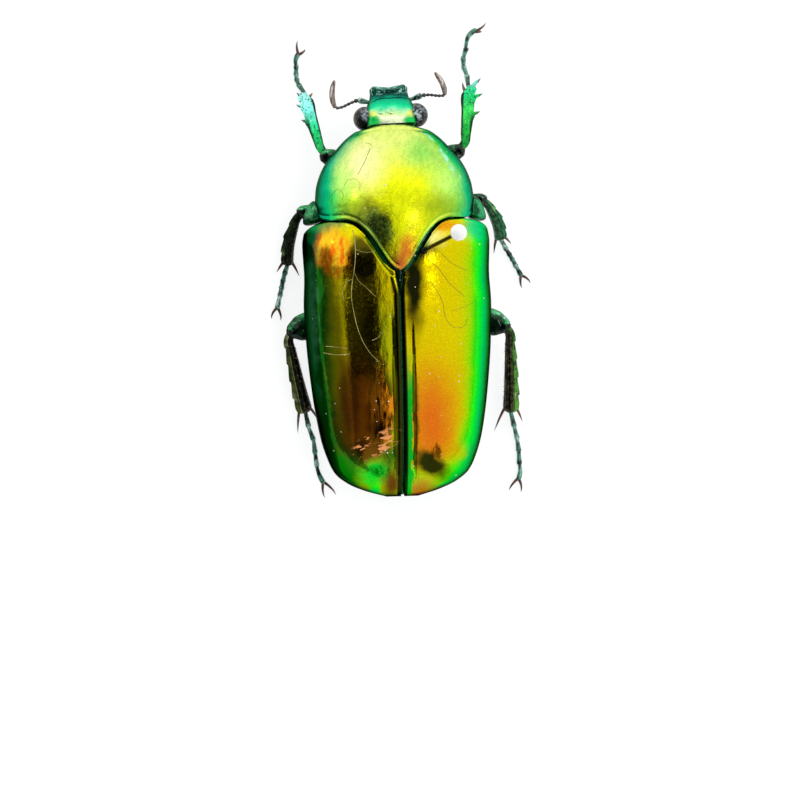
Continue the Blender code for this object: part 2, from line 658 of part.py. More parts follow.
def make_legs(make, thorax, abdomen, prosternum):
    trunks = {"foreleg": [prosternum], "midleg": [thorax], "hindleg": [thorax, abdomen]}
    for name, leg in LEGS.items():
        pair = name.split("_")[0]
        make_femur(make, name, leg, LEG_KINDS[pair], trunks[pair])
        make_tibia(make, name, leg, LEG_KINDS[pair])
        make_foot(make, name, leg)


def make_pin(make):
    """The pin's shaft above the wing case, its ball head, and its point under the body."""
    along = (PIN_HEAD - PIN_ENTRY).normalized()
    radii = [PIN_RADIUS] * 2
    top = PIN_HEAD - along * (PIN_HEAD_RADIUS + GAP)
    make.limb("pin_shaft", [PIN_ENTRY + along * GAP, top], radii, radii, (0, 1, 0), 12, "pin_enamel")
    make.ball("pin_head", PIN_HEAD, [PIN_HEAD_RADIUS] * 3, 16, 10, "pin_head_plastic")

    def on_axis(z):
        return PIN_ENTRY + along * ((z - PIN_ENTRY.z) / along.z)

    path = [on_axis(PIN_POINT_TOP_Z), on_axis(0.5 * (PIN_POINT_TOP_Z + PIN_TIP_Z)), on_axis(PIN_TIP_Z)]
    radii = [PIN_RADIUS, PIN_RADIUS, PIN_RADIUS * 0.24]
    make.limb("pin_point", path, radii, radii, (0, 1, 0), 12, "pin_enamel")


def stand_on_origin(parts):
    """Moves the model so that its box stands on the floor, centred on the origin."""
    graph = bpy.context.evaluated_depsgraph_get()
    corners = [part.matrix_world @ Vector(c) for part in parts for c in part.evaluated_get(graph).bound_box]
    low = Vector([min(c[i] for c in corners) for i in range(3)])
    high = Vector([max(c[i] for c in corners) for i in range(3)])
    for part in parts:
        part.location -= Vector(((low.x + high.x) / 2, (low.y + high.y) / 2, low.z))


def main():
    for obj in list(bpy.data.objects):
        bpy.data.objects.remove(obj)
    make = Specimen("flower_chafer")
    make_wing_cases(make)
    make_pronotum(make)
    thorax, abdomen = make_trunk(make)
    prosternum = make_prosternum(make)
    make_shoulder_plates(make)
    make_head(make)
    make_mouthparts(make)
    make_antennae(make)
    make_legs(make, thorax, abdomen, prosternum)
    make_pin(make)
    stand_on_origin(list(make.home.objects))


main()
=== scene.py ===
"""Looks of a golden-green flower chafer, 31 mm long, a dried museum specimen on an insect pin.

Shapes are in millimetres in the beetle's own axes: +Y is towards the head, +X is the beetle's right,
+Z is up, and the wing cases' seam runs along x = 0. Every piece has the origin of these axes as its own.
"""

import math
import random

import bmesh
import bpy
import numpy as np
from mathutils import Matrix, Vector


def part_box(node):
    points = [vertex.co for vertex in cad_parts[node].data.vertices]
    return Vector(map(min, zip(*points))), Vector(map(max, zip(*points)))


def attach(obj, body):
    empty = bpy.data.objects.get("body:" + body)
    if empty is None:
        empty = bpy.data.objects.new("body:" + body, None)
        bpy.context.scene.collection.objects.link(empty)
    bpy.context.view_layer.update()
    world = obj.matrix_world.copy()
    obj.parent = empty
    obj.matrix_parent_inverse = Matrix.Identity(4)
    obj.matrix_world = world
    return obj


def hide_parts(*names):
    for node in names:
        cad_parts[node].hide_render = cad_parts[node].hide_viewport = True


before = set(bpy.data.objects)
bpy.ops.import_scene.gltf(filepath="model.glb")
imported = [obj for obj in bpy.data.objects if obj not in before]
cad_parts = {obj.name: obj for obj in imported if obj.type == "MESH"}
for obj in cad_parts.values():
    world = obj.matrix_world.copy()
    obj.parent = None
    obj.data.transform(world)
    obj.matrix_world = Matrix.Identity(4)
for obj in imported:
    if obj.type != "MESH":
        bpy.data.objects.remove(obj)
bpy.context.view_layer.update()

MM = 0.001
SIDES = ((-1, "left"), (1, "right"))
UP = Vector((0, 0, 1))
SEED = 7
# How thick the wing cases and the pronotum are, how far inside their edges the inner faces end, and how
# far the edges swell out.
SHELL = 0.7
RIM = 0.11
EDGE_SWELL = 0.05
# Rows and columns of the wing cases' and the pronotum's sheets.
ELYTRON_GRID = (240, 130)
PRONOTUM_GRID = (180, 240)
# The seams that show between the plates.
PLATE_GAP = 0.06

# Outlines seen from above, as (y, half width).
ELYTRA_OUTLINE = [
    (5.4, 6.45), (4.7, 6.92), (3.6, 7.1), (1.3, 7.02), (-1.0, 7.12), (-3.7, 7.02), (-7.3, 6.7),
    (-10.9, 6.15), (-12.7, 5.6), (-13.7, 5.08), (-14.5, 4.1), (-15.1, 2.75), (-15.55, 1.2),
]
PRONOTUM_OUTLINE = [
    (12.5, 2.3), (12.2, 2.8), (11.7, 3.5), (10.8, 4.37), (9.85, 5.15), (8.8, 5.68), (7.8, 5.95),
    (6.8, 6.03), (6.1, 5.95), (5.0, 5.9), (1.0, 5.9),
]
# Edges seen from above, as (distance from the seam, y). The lobe's side and the wing case follow one line.
LOBE_SIDE = [(0.0, 1.45), (0.3, 1.6), (0.7, 2.0), (1.2, 2.75), (1.8, 3.72), (2.45, 4.53), (3.25, 5.13)]
LOBE_EDGE = LOBE_SIDE + [(4.05, 5.37), (5.0, 5.37), (5.6, 5.5), (6.0, 5.9), (6.4, 6.2)]
# The pronotum's hind edge is drawn out to this distance from the seam.
LOBE_HALF = 5.95
ELYTRA_FRONT = LOBE_SIDE + [(4.05, 5.35), (5.1, 5.35), (6.3, 5.2), (6.7, 4.95), (6.95, 4.6)]
PRONOTUM_FRONT = [(0.0, 12.55), (1.3, 12.5), (2.1, 12.35), (2.8, 12.15)]
# Side profiles, as (y, z).
ELYTRA_TOP = [
    (5.4, 10.55), (2.0, 10.75), (-2.0, 10.85), (-6.0, 10.6), (-9.0, 10.05), (-11.5, 9.15),
    (-13.2, 8.1), (-14.4, 7.0), (-15.1, 6.2), (-15.4, 5.7), (-15.56, 5.1),
]
ELYTRA_MARGIN = [
    (5.4, 6.9), (3.0, 6.5), (0.0, 6.3), (-6.0, 6.0), (-11.0, 5.7), (-14.0, 5.3), (-15.6, 5.0),
]
PRONOTUM_TOP = [
    (12.6, 7.55), (11.8, 8.35), (10.5, 9.3), (9.0, 10.1), (7.0, 10.75), (5.0, 11.0), (3.0, 11.0),
    (1.4, 10.85),
]
PRONOTUM_MARGIN = [(12.6, 5.9), (10.0, 5.9), (8.0, 6.1), (6.0, 6.55), (1.4, 6.6)]
BELLY = [
    (5.2, 3.2), (4.0, 2.5), (2.0, 2.2), (-2.5, 2.2), (-6.0, 2.35), (-9.0, 2.6), (-11.5, 3.1),
    (-13.3, 3.8), (-14.6, 4.7),
]
BREAST = [(12.0, 4.4), (11.0, 3.7), (9.5, 3.3), (7.5, 3.3), (5.7, 3.6)]
# Swellings of the wing cases, as (x, y, radius, height).
SHOULDER_SWELLING = (5.5, 3.7, 1.1, 0.1)
TIP_SWELLING = (3.7, -12.3, 1.25, 0.38)
# How fast the wing cases fall towards their front edge, from this y on.
FRONT_FALL = 0.07
FRONT_FALL_FROM = 2.6

SEGMENT_ENDS = [-2.65, -4.6, -6.8, -9.0, -11.1, -13.1]

# The shoulder plate's corners, as (distance from the seam, y), and the middle they close on.
SHOULDER_PLATE = [
    (6.0, 7.15), (6.5, 6.85), (6.82, 6.2), (7.0, 5.5), (6.85, 5.22), (6.3, 5.2), (5.5, 5.45), (5.4, 6.2),
]
SHOULDER_PLATE_MIDDLE = (6.1, 5.9)

HEAD_TURN = math.radians(2.5)
NECK = Vector((-0.02, 12.4, 0.0))
# The head's cross-sections, as (y, half width, top, underside).
HEAD_SECTIONS = [
    (12.12, 1.75, 6.4, 4.6), (12.5, 1.85, 6.5, 4.3), (12.58, 1.9, 7.12, 4.2), (12.7, 1.95, 7.4, 4.0),
    (13.0, 1.95, 7.36, 3.85), (13.5, 1.92, 7.17, 3.65), (13.9, 1.86, 6.96, 3.6), (14.3, 1.72, 6.66, 3.7),
    (14.7, 1.52, 6.25, 3.95), (15.15, 1.44, 5.8, 4.3), (15.4, 1.4, 5.62, 4.55), (15.52, 1.26, 5.45, 4.75),
]
CLYPEUS_LOBE = (1.1, 15.26)
EYE = (1.97, 13.3, 5.65)
EYE_RADII = (0.88, 0.92, 0.95)

PIN_SIDES = 36
PIN_WIRE_RADIUS = 0.16
PIN_HEAD_RADIUS = 0.6
PIN_HEAD = Vector((3.77, 3.68, 20.0))
PIN_ENTRY = Vector((1.92, 2.9, 10.95))
PIN_TIP_Z = 0.35
# Where the wire starts and ends, from its entry on.
PIN_SHOWN = (-0.9, 9.0)

# A leg in the pose: the centres of its hip and knee, where the shin starts and ends, the tips of a fore
# shin's teeth, the tips of the spurs at its end, the ends of the five tarsal segments seen from above, the
# tips of the two claws, and how far the last tarsal segment bows.
LEGS = {
    "foreleg_left": dict(
        hip=(-1.55, 9.3, 3.0), knee=(-4.93, 10.58, 3.75), shin=(-5.37, 11.33, 3.3), ankle=(-6.36, 15.66, 1.1),
        teeth=[(-6.74, 13.56, 2.0), (-7.08, 14.78, 1.55), (-7.0, 15.72, 1.25)], spurs=[(-5.75, 15.75, 0.75)],
        toes=[(-6.83, 16.45), (-6.93, 16.85), (-6.97, 17.35), (-6.93, 17.9), (-6.7, 18.85)],
        claws=[(-6.75, 19.85, 0.22), (-6.2, 19.2, 0.14)], toe_bow=(-0.14, 0.0, 0.0),
    ),
    "foreleg_right": dict(
        hip=(1.55, 9.3, 3.0), knee=(5.16, 10.7, 3.75), shin=(5.74, 11.4, 3.3), ankle=(6.32, 15.85, 1.15),
        teeth=[(7.1, 13.86, 2.0), (7.4, 15.28, 1.5), (7.33, 16.52, 1.1)], spurs=[(5.9, 16.25, 0.75)],
        toes=[(6.27, 16.8), (6.05, 17.5), (6.05, 18.2), (6.32, 18.95), (7.1, 20.35)],
        claws=[(7.9, 20.88, 0.22), (7.55, 20.25, 0.14)], toe_bow=(-0.22, 0.16, 0.05),
    ),
    "midleg_left": dict(
        hip=(-1.9, 4.9, 2.75), knee=(-6.9, 6.5, 3.9), shin=(-7.4, 5.75, 3.45), ankle=(-8.08, 2.55, 1.1),
        spurs=[(-7.2, 1.6, 0.45), (-8.95, 1.95, 0.5)],
        toes=[(-8.35, 1.75), (-8.5, 1.2), (-8.62, 0.65), (-8.75, 0.1), (-9.0, -0.85)],
        claws=[(-9.45, -1.6, 0.14), (-8.75, -1.75, 0.14)], toe_bow=(0.0, 0.0, 0.08),
    ),
    "midleg_right": dict(
        hip=(1.9, 4.9, 2.75), knee=(6.8, 7.05, 3.9), shin=(7.42, 6.4, 3.45), ankle=(8.42, 4.05, 1.1),
        spurs=[(7.95, 2.9, 0.45), (9.35, 3.6, 0.5)],
        toes=[(8.95, 3.15), (9.2, 2.75), (9.43, 2.35), (9.67, 1.85), (10.05, 1.1)],
        claws=[(10.75, 0.55, 0.14), (10.1, 0.2, 0.14)], toe_bow=(0.0, 0.0, 0.08),
    ),
    "hindleg_left": dict(
        hip=(-2.6, -1.6, 2.8), knee=(-7.85, -2.42, 3.9), shin=(-8.22, -3.35, 3.5), ankle=(-7.1, -8.85, 1.3),
        spurs=[(-6.0, -9.75, 0.7), (-7.7, -10.55, 0.5)],
        toes=[(-6.85, -10.1), (-6.5, -11.1), (-6.4, -12.15), (-6.3, -13.15), (-5.8, -14.5)],
        claws=[(-5.75, -15.6, 0.14), (-4.9, -15.4, 0.14)], toe_bow=(-0.08, 0.0, 0.06),
    ),
    "hindleg_right": dict(
        hip=(2.6, -1.6, 2.8), knee=(8.2, -2.5, 3.9), shin=(8.68, -3.4, 3.5), ankle=(8.78, -9.3, 1.3),
        spurs=[(7.55, -10.85, 0.5), (9.75, -10.2, 0.7)],
        toes=[(9.1, -10.6), (9.32, -11.55), (9.42, -12.5), (9.44, -13.5), (9.3, -14.7)],
        claws=[(8.6, -15.5, 0.14), (9.5, -15.65, 0.14)], toe_bow=(0.1, 0.0, 0.06),
    ),
}
# Half widths of a leg's parts, how far the knee sits behind the thigh's middle line, where the shin's
# keel ends around it, its teeth as (share of the shin, reach outwards, reach onwards), and the heights at
# which the tarsal segments end.
LEG_KINDS = {
    "foreleg": dict(
        hip=(1.0, 0.75, 0.95), femur=0.72, knee=0.56, knee_back=0.0, tibia=(0.33, 0.44, 0.47), thick=0.3,
        bow=0.04, keel_from=0.3, teeth=[], tooth=0.21, steps=0, toe_heights=(0.62, 0.42, 0.36, 0.34, 0.4),
    ),
    "midleg": dict(
        hip=(0.95, 0.85, 0.7), femur=0.78, knee=0.5, knee_back=-0.12, tibia=(0.33, 0.45, 0.45), thick=0.34,
        bow=0.2, keel_from=0.72, teeth=[(0.62, 0.56, 0.3)], tooth=0.12, steps=3,
        toe_heights=(0.62, 0.42, 0.36, 0.34, 0.4),
    ),
    "hindleg": dict(
        hip=(2.1, 0.95, 0.72), femur=1.02, knee=0.6, knee_back=-0.3, tibia=(0.34, 0.46, 0.58), thick=0.38,
        bow=0.05, keel_from=0.45, teeth=[(0.44, 0.62, 0.35), (0.7, 0.68, 0.4)], tooth=0.14, steps=4,
        toe_heights=(0.72, 0.45, 0.38, 0.34, 0.4),
    ),
}
BRISTLES = 26
END_BRISTLES = 10
BRISTLE_RADIUS = 0.022
END_BRISTLE_RADIUS = 0.03
SPUR_RADIUS = 0.13
TOE_RADIUS = 0.25
CLAW_RADIUS = 0.13
# Colours by how far the surface leans, as (lean, screen colour).
WING_CASE_COLORS = [
    (0.0, (232, 204, 2)), (0.2, (230, 212, 2)), (0.28, (216, 216, 4)), (0.36, (176, 226, 6)),
    (0.45, (66, 230, 14)), (0.54, (8, 226, 50)), (0.63, (12, 196, 104)), (0.74, (20, 168, 108)),
    (0.86, (30, 126, 92)), (1.0, (16, 56, 44)),
]
PRONOTUM_COLORS = [
    (0.0, (238, 248, 8)), (0.14, (236, 246, 16)), (0.27, (204, 238, 40)), (0.38, (146, 224, 66)),
    (0.47, (70, 210, 90)), (0.56, (10, 202, 122)), (0.66, (2, 190, 146)), (0.78, (8, 174, 150)),
    (0.9, (20, 140, 124)), (1.0, (16, 100, 90)),
]
# The head's colours, as (share of its length from the back, screen colour).
HEAD_COLORS = [
    (0.0, (236, 252, 206)), (0.2, (246, 255, 214)), (0.28, (214, 244, 160)), (0.36, (176, 240, 178)),
    (0.44, (90, 236, 170)), (0.52, (14, 212, 142)), (0.66, (8, 178, 132)), (0.72, (12, 130, 106)),
    (0.78, (8, 74, 62)), (0.88, (12, 84, 70)), (1.0, (110, 170, 150)),
]
# How far the painted shade beside the seam reaches, where the wing cases part.
SEAM_SHADE_REACH = {"left": 0.4, "right": 0.28}
# The fore shins' colours from knee to foot, as (y, screen colour), and their painted glints.
FORE_SHIN_COLORS = {
    "left": [
        (11.3, (20, 176, 84)), (12.4, (18, 218, 118)), (13.2, (48, 230, 164)), (13.9, (110, 244, 222)),
        (14.8, (154, 252, 242)), (15.8, (170, 234, 230)),
    ],
    "right": [
        (11.3, (12, 140, 40)), (12.6, (22, 186, 58)), (14.0, (54, 222, 92)), (15.1, (14, 208, 116)),
        (15.7, (34, 210, 150)), (16.0, (120, 224, 204)),
    ],
}
FORE_SHIN_GLINTS = {"left": (190, 255, 236), "right": (150, 255, 130)}
# The shoulder plates' colours where they are bright and dark, and their painted pale glints.
PLATE_COLORS = ((56, 164, 104), (14, 84, 46), (110, 200, 130))
# The other shins' colours: the keel where it is bright and dark and its painted pale highlight, and the inner
# face's two.
SHIN_COLORS = {
    "midleg_left": ((58, 84, 44), (16, 30, 16), (130, 170, 110), (12, 16, 8), (44, 54, 34)),
    "midleg_right": ((44, 118, 72), (14, 60, 36), (120, 180, 110), (10, 52, 28), (50, 104, 66)),
    "hindleg_left": ((118, 128, 66), (50, 80, 26), (196, 204, 156), (14, 12, 8), (54, 50, 36)),
    "hindleg_right": ((96, 156, 62), (34, 74, 24), (166, 200, 130), (16, 18, 10), (70, 70, 44)),
}
# Small pieces' finishes: how metallic, rough and coated they are and their edge colour, the clouds' scale
# and detail and what they fade between, two colours, and a relief as its scale, detail and depth.
PLAIN_FINISHES = {
    # The scape's pale clouds are painted highlights.
    "scape_cuticle": (
        (0.6, 0.22, 0.8, (150, 200, 180)), (2.5, 3, 0.4, 0.58), (10, 46, 34), (170, 206, 194), (7, 3, 0.02),
    ),
    "bead_cuticle": ((0.2, 0.25, 0.6), (4, 3, 0.4, 0.65), (14, 13, 12), (84, 78, 74), (8, 3, 0.02)),
    "claw_brown": ((0.1, 0.3, 0.5), (3, 3, 0.35, 0.65), (38, 20, 14), (110, 62, 46), (10, 3, 0.01)),
    "pin_black_enamel": ((0, 0.3, 0.3), (2, 3, 0.35, 0.7), (8, 8, 8), (26, 22, 18), (6, 2, 0.01)),
    "pin_head_white": ((0, 0.25, 0.4), (1.5, 3, 0.3, 0.7), (248, 248, 246), (240, 240, 237), (5, 2, 0.004)),
    "dust_white": ((0, 0.7), (2, 2), (252, 250, 236), (222, 224, 200)),
    "pale_fibre": ((0, 0.6), (1.2, 3, 0.35, 0.65), (120, 118, 50), (196, 190, 116)),
    "dark_scratch": ((0, 0.6), (1.2, 3, 0.35, 0.65), (70, 72, 10), (120, 124, 24)),
    "grey_card": ((0, 0.9), (0.1, 2), (112, 124, 114), (120, 132, 122)),
}
# How much the pin head glows: painted light that keeps it white in its shade.
PIN_HEAD_GLOW = 0.12

# The feelers' joints and clubs seen from above, and their heights.
ANTENNAE = {
    "left": dict(
        stem=[(-1.42, 14.48), (-2.45, 14.72), (-2.9, 14.55), (-3.4, 14.33), (-3.68, 14.2)],
        club=[(-4.2, 14.15), (-4.38, 14.8), (-4.38, 15.55), (-4.2, 16.3)],
    ),
    "right": dict(
        stem=[(1.42, 14.63), (2.45, 14.95), (3.0, 14.98), (3.45, 14.92), (3.7, 14.88)],
        club=[(4.24, 14.92), (4.15, 15.5), (3.9, 16.1), (3.5, 16.7)],
    ),
}
STEM_HEIGHTS = (4.75, 4.85, 4.9, 4.9, 4.85)
CLUB_HEIGHT = 4.8

# Fine fibres and scratches, as (half thickness, path seen from above).
PALE_FIBRES = [
    (0.03, [
        (-3.4, 4.6), (-3.27, 3.74), (-3.28, 2.49), (-3.42, 1.43), (-3.59, 0.55), (-3.66, -0.52),
        (-3.52, -1.59), (-3.26, -2.84), (-2.85, -3.92), (-2.34, -4.73), (-1.74, -5.37),
    ]),
    (0.024, [(-3.39, 1.34), (-3.06, 0.7), (-2.55, 0.24), (-2.12, -0.22), (-1.83, -0.49)]),
    (0.024, [(-3.19, 3.11), (-2.81, 2.92), (-2.28, 2.85), (-1.75, 2.94)]),
    (0.02, [(-2.23, -3.73), (-1.78, -3.51), (-1.32, -2.99)]),
    (0.018, [(-3.55, 0.9), (-3.94, 0.74), (-4.28, 0.04), (-4.25, -0.67)]),
    (0.03, [(-5.83, -4.51), (-4.89, -4.7), (-3.92, -4.68)]),
    (0.022, [(-5.65, -4.02), (-4.87, -4.13), (-4.09, -4.26)]),
]
DARK_SCRATCHES = [
    (0.018, [(1.81, 2.35), (2.77, 1.63), (3.72, 0.37), (4.79, -0.63)]),
    (0.018, [(2.28, 0.58), (3.13, -1.04), (3.36, -2.29), (3.98, -2.93), (4.72, -2.85), (5.01, -2.32)]),
    (0.014, [(3.83, -1.68), (4.67, -1.46), (5.53, -1.08)]),
    (0.014, [(2.9, 2.9), (3.9, 1.9), (5.1, 1.3)]),
]
PRONOTUM_SCRATCHES = [
    (0.022, [(-1.85, 10.71), (-2.31, 9.71), (-2.87, 8.72)]),
    (0.016, [(-2.1, 11.16), (-1.82, 11.08), (-1.66, 10.88), (-1.77, 10.65)]),
    (0.014, [(-3.9, 7.95), (-3.6, 8.35), (-3.1, 8.4), (-2.75, 8.0), (-2.9, 7.5), (-3.4, 7.35)]),
    (0.014, [(-4.85, 6.6), (-4.8, 7.35), (-4.4, 7.7), (-4.0, 7.3), (-4.1, 6.85)]),
    (0.014, [(-2.9, 7.25), (-2.2, 6.7), (-1.4, 6.45)]),
]
SPECKS = 64
SPECK_RADII = (0.025, 0.06)

# The camera of the photo, in the beetle's axes.
CAMERA_PLACE = Vector((-14.99, -8.22, 266.07))
CAMERA_LEAN = math.radians(3.3)
CAMERA_ROLL = math.radians(1.79)
CAMERA_LENS = 154.44
CAMERA_SENSOR = 36.0

# Soft windows of the studio: the sideways angles and the forward angles they span, in degrees from
# straight up, how soft their edges are both ways, and their brightness. Later ones lie over earlier ones.
STUDIO_LIGHT = 1.15
WINDOWS = [
    ((-180, -42), (-180, 30), (16, 20), 0.3),
    ((-180, 100), (34, 92), (22, 22), 1.5),
    ((-40, -1), (-110, 19), (7, 14), 0.02),
    ((-40, -3), (-110, -16), (10, 12), 0.2),
    ((-56, -32), (10, 50), (8, 8), 1.4),
    ((15, 19.5), (8, 14), (2, 2), 9.0),
    ((-49, -44), (33, 40), (3, 3), 6.0),
]
FLOOR_GLOW = 0.78
# How far the floor lies under the model and the dark card over it, in metres.
SHEET_GAP = 0.00002
# The lamp overhead, in metres and watts.
LAMP_PLACE = (0.02, 0.05, 0.45)
LAMP_SIZE = 0.6
LAMP_POWER = 0.5


def arc(u, length, start, end, start_slope, end_slope):
    """The value at the share u of a stretch, from the values and the slopes at its two ends."""
    value = (2 * u**3 - 3 * u**2 + 1) * start + (u**3 - 2 * u**2 + u) * length * start_slope
    return value + (3 * u**2 - 2 * u**3) * end + (u**3 - u**2) * length * end_slope


def curve(points):
    """A smooth curve through (t, value) points that never overshoots them."""
    t, v = np.array(sorted(points), float).T
    steps = np.diff(t)
    slopes = np.diff(v) / steps
    tangents = np.concatenate(([slopes[0]], np.zeros(len(t) - 2), [slopes[-1]]))
    for i in range(1, len(t) - 1):
        if slopes[i - 1] * slopes[i] > 0:
            tangents[i] = 2 * slopes[i - 1] * slopes[i] / (slopes[i - 1] + slopes[i])

    def value(at):
        at = np.clip(at, t[0], t[-1])
        i = np.clip(np.searchsorted(t, at) - 1, 0, len(t) - 2)
        return arc((at - t[i]) / steps[i], steps[i], v[i], v[i + 1], tangents[i], tangents[i + 1])

    return value


elytra_half = curve(ELYTRA_OUTLINE)
elytra_top = curve(ELYTRA_TOP)
elytra_margin = curve(ELYTRA_MARGIN)
elytra_front = curve(ELYTRA_FRONT)
pronotum_half = curve(PRONOTUM_OUTLINE)
pronotum_top = curve(PRONOTUM_TOP)
pronotum_margin = curve(PRONOTUM_MARGIN)
pronotum_front = curve(PRONOTUM_FRONT)
lobe_edge = curve(LOBE_EDGE)
belly = curve(BELLY)
breast = curve(BREAST)


def ease(t):
    """A soft step from 0 at t = 0 to 1 at t = 1."""
    t = np.clip(t, 0.0, 1.0)
    return t * t * (3 - 2 * t)


def bump(distance, width):
    return np.exp(-((distance / width) ** 2))


def dome(share, power_across, power_up):
    return np.maximum(0.0, 1 - np.minimum(1.0, np.abs(share)) ** power_across) ** (1 / power_up)


def between(a, b, share):
    return Vector(a) + (Vector(b) - Vector(a)) * share


def unit(directions):
    return directions / np.linalg.norm(directions, axis=1, keepdims=True)


def grid(rows, columns):
    """The shares across and along at each point of a sheet."""
    return np.meshgrid(np.linspace(0, 1, columns), np.linspace(0, 1, rows))


def smooth_path(path, at):
    """Points on a smooth line through the path, at these shares of its length."""
    points = np.array([tuple(p) for p in path], float)
    lengths = np.concatenate(([0.0], np.cumsum(np.linalg.norm(np.diff(points, axis=0), axis=1))))
    slopes = np.gradient(points, lengths, axis=0)
    t = np.asarray(at) * lengths[-1]
    i = np.clip(np.searchsorted(lengths, t) - 1, 0, len(points) - 2)
    h = (lengths[i + 1] - lengths[i])[:, None]
    u = (t - lengths[i])[:, None] / h
    return arc(u, h, points[i], points[i + 1], slopes[i], slopes[i + 1])


def rounded_loop(corners):
    """Cuts a closed outline's corners four times, until it is smooth."""
    loop = np.array(corners, float)
    for _ in range(4):
        after = np.roll(loop, -1, axis=0)
        loop = np.stack([0.75 * loop + 0.25 * after, 0.25 * loop + 0.75 * after], axis=1).reshape(-1, 2)
    return loop


class Form:
    """The points and faces of one piece, in millimetres. A face's look is the number of its finish."""

    def __init__(self):
        self.points, self.faces, self.looks = [], [], []
        self.count = 0

    def add(self, points, faces, looks):
        """Adds points and faces that count from the first of them."""
        points = np.asarray(points, float).reshape(-1, 3)
        self.points.append(points)
        self.faces += [tuple(int(i) + self.count for i in face) for face in faces]
        self.looks += looks if isinstance(looks, list) else [looks] * len(faces)
        self.count += len(points)

    def sheet_faces(self, rows, columns, around=False):
        breadth = columns if around else columns - 1
        row, column = np.meshgrid(np.arange(rows - 1), np.arange(breadth), indexing="ij")
        after = (column + 1) % columns
        low, high = row * columns, (row + 1) * columns
        corners = [low + column, low + after, high + after, high + column]
        return np.stack([corner.ravel() for corner in corners], axis=1)

    def tube(self, rings, look=0):
        """A closed form through rings of equally many points. The look may differ from side to side."""
        rings = np.asarray(rings, float)
        rows, columns = rings.shape[:2]
        faces = [tuple(face) for face in self.sheet_faces(rows, columns, True)]
        looks = list(look) * (rows - 1) if isinstance(look, list) else [look] * len(faces)
        points = np.vstack([rings.reshape(-1, 3), rings[0].mean(axis=0), rings[-1].mean(axis=0)])
        first, last = rows * columns, rows * columns + 1
        for k in range(columns):
            after = (k + 1) % columns
            faces.append((first, after, k))
            faces.append((last, (rows - 1) * columns + k, (rows - 1) * columns + after))
            looks += [looks[k], looks[k]]
        self.add(points, faces, looks)

    def plate(self, outer, inner):
        """A plate between two sheets of points, with edges that swell out."""
        rows, columns = outer.shape[:2]

        def border(sheet):
            return np.concatenate([sheet[0, :-1], sheet[:-1, -1], sheet[-1, :0:-1], sheet[:0:-1, 0]])

        row = np.clip(np.arange(rows), 1, rows - 2)
        column = np.clip(np.arange(columns), 1, columns - 2)
        push = border(outer) - border(outer[row][:, column])
        push /= np.maximum(np.linalg.norm(push, axis=1, keepdims=True), 1e-9)
        lips = []
        for share in (0.2, 0.5, 0.8):
            lip = border(outer) * (1 - share) + border(inner) * share
            lips.append(lip + push * EDGE_SWELL * math.sin(math.pi * share))
        edge = border(np.arange(rows * columns).reshape(rows, columns))
        points = np.vstack([outer.reshape(-1, 3), inner.reshape(-1, 3), *lips])
        faces = [tuple(face) for face in self.sheet_faces(rows, columns)]
        faces += [tuple(face[::-1] + rows * columns) for face in self.sheet_faces(rows, columns)]
        loops = [edge] + [2 * rows * columns + len(edge) * i + np.arange(len(edge)) for i in range(3)]
        loops.append(edge + rows * columns)
        for one, other in zip(loops, loops[1:]):
            for k in range(len(edge)):
                after = (k + 1) % len(edge)
                faces.append((one[after], one[k], other[k], other[after]))
        self.add(points, faces, 0)

    def ball(self, centre, radii, segments, rings):
        """An ellipsoid."""
        lift = math.pi * np.arange(1, rings)[:, None] / rings
        around = 2 * math.pi * np.arange(segments)[None, :] / segments
        x, y, z = np.sin(lift) * np.cos(around), np.sin(lift) * np.sin(around), np.cos(lift) + 0 * around
        rows = np.stack([x, y, z], axis=2)
        self.tube(rows * np.array(radii) + np.array(centre))

    def sweep(self, path, sizes, flat=(0, 0, 1), sides=16, rings=24, look=0, section=None, ends=(0.0, 0.0)):
        """A limb along a smooth path.

        Sizes are (share of the length, half width along the flat direction, half thickness across it), and
        the ends are the shares of the length over which it rounds off. A section gives the outline, from the
        share of the length and the turn around it.
        """
        at = 0.5 - 0.5 * np.cos(np.linspace(0, math.pi, rings))
        line = smooth_path(path, at)
        wide, thick = (curve([(size[0], size[way]) for size in sizes])(at) for way in (1, -1))
        for away, share in ((at, ends[0]), (1 - at, ends[1])):
            if share:
                close = np.sqrt(np.maximum(0.0, 1 - (1 - np.minimum(1.0, away / share)) ** 2))
                close = np.maximum(close, 0.03)
                wide, thick = wide * close, thick * close
        along = unit(np.gradient(line, axis=0))
        flat = np.array(flat, float)
        side = unit(flat - along * (along @ flat)[:, None])
        over = np.cross(along, side)
        turn = 2 * math.pi * np.arange(sides) / sides
        across, up = np.cos(turn)[None, :], np.sin(turn)[None, :]
        if section is not None:
            across, up = section(at[:, None], turn[None, :])
        ring = side[:, None] * (wide[:, None] * across)[..., None]
        ring = ring + over[:, None] * (thick[:, None] * up)[..., None]
        self.tube(line[:, None] + ring, look)

    def joint(self, a, b, before, sizes, **settings):
        """A short straight limb from a little before one point to just past another."""
        self.sweep([between(a, b, -before), between(a, b, 1.05)], sizes, **settings)

    def cone(self, root, tip, radius, look, sides, rings, bend=(0, 0, 0)):
        """A tapering spine that may bend."""
        middle = between(root, tip, 0.55) + Vector(bend)
        sizes = [(0.0, radius), (0.55, radius * 0.66), (1.0, radius * 0.08)]
        self.sweep([root, middle, tip], sizes, (0.13, 0.07, 1), sides, rings, look)


# Where the beetle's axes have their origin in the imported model, and the floor's height in them.
low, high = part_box("pin_head")
ORIGIN = (low + high) / 2 - PIN_HEAD * MM
FLOOR = -ORIGIN.z / MM


def new_object(name, data):
    made = bpy.data.objects.new(name, data)
    bpy.context.scene.collection.objects.link(made)
    return made


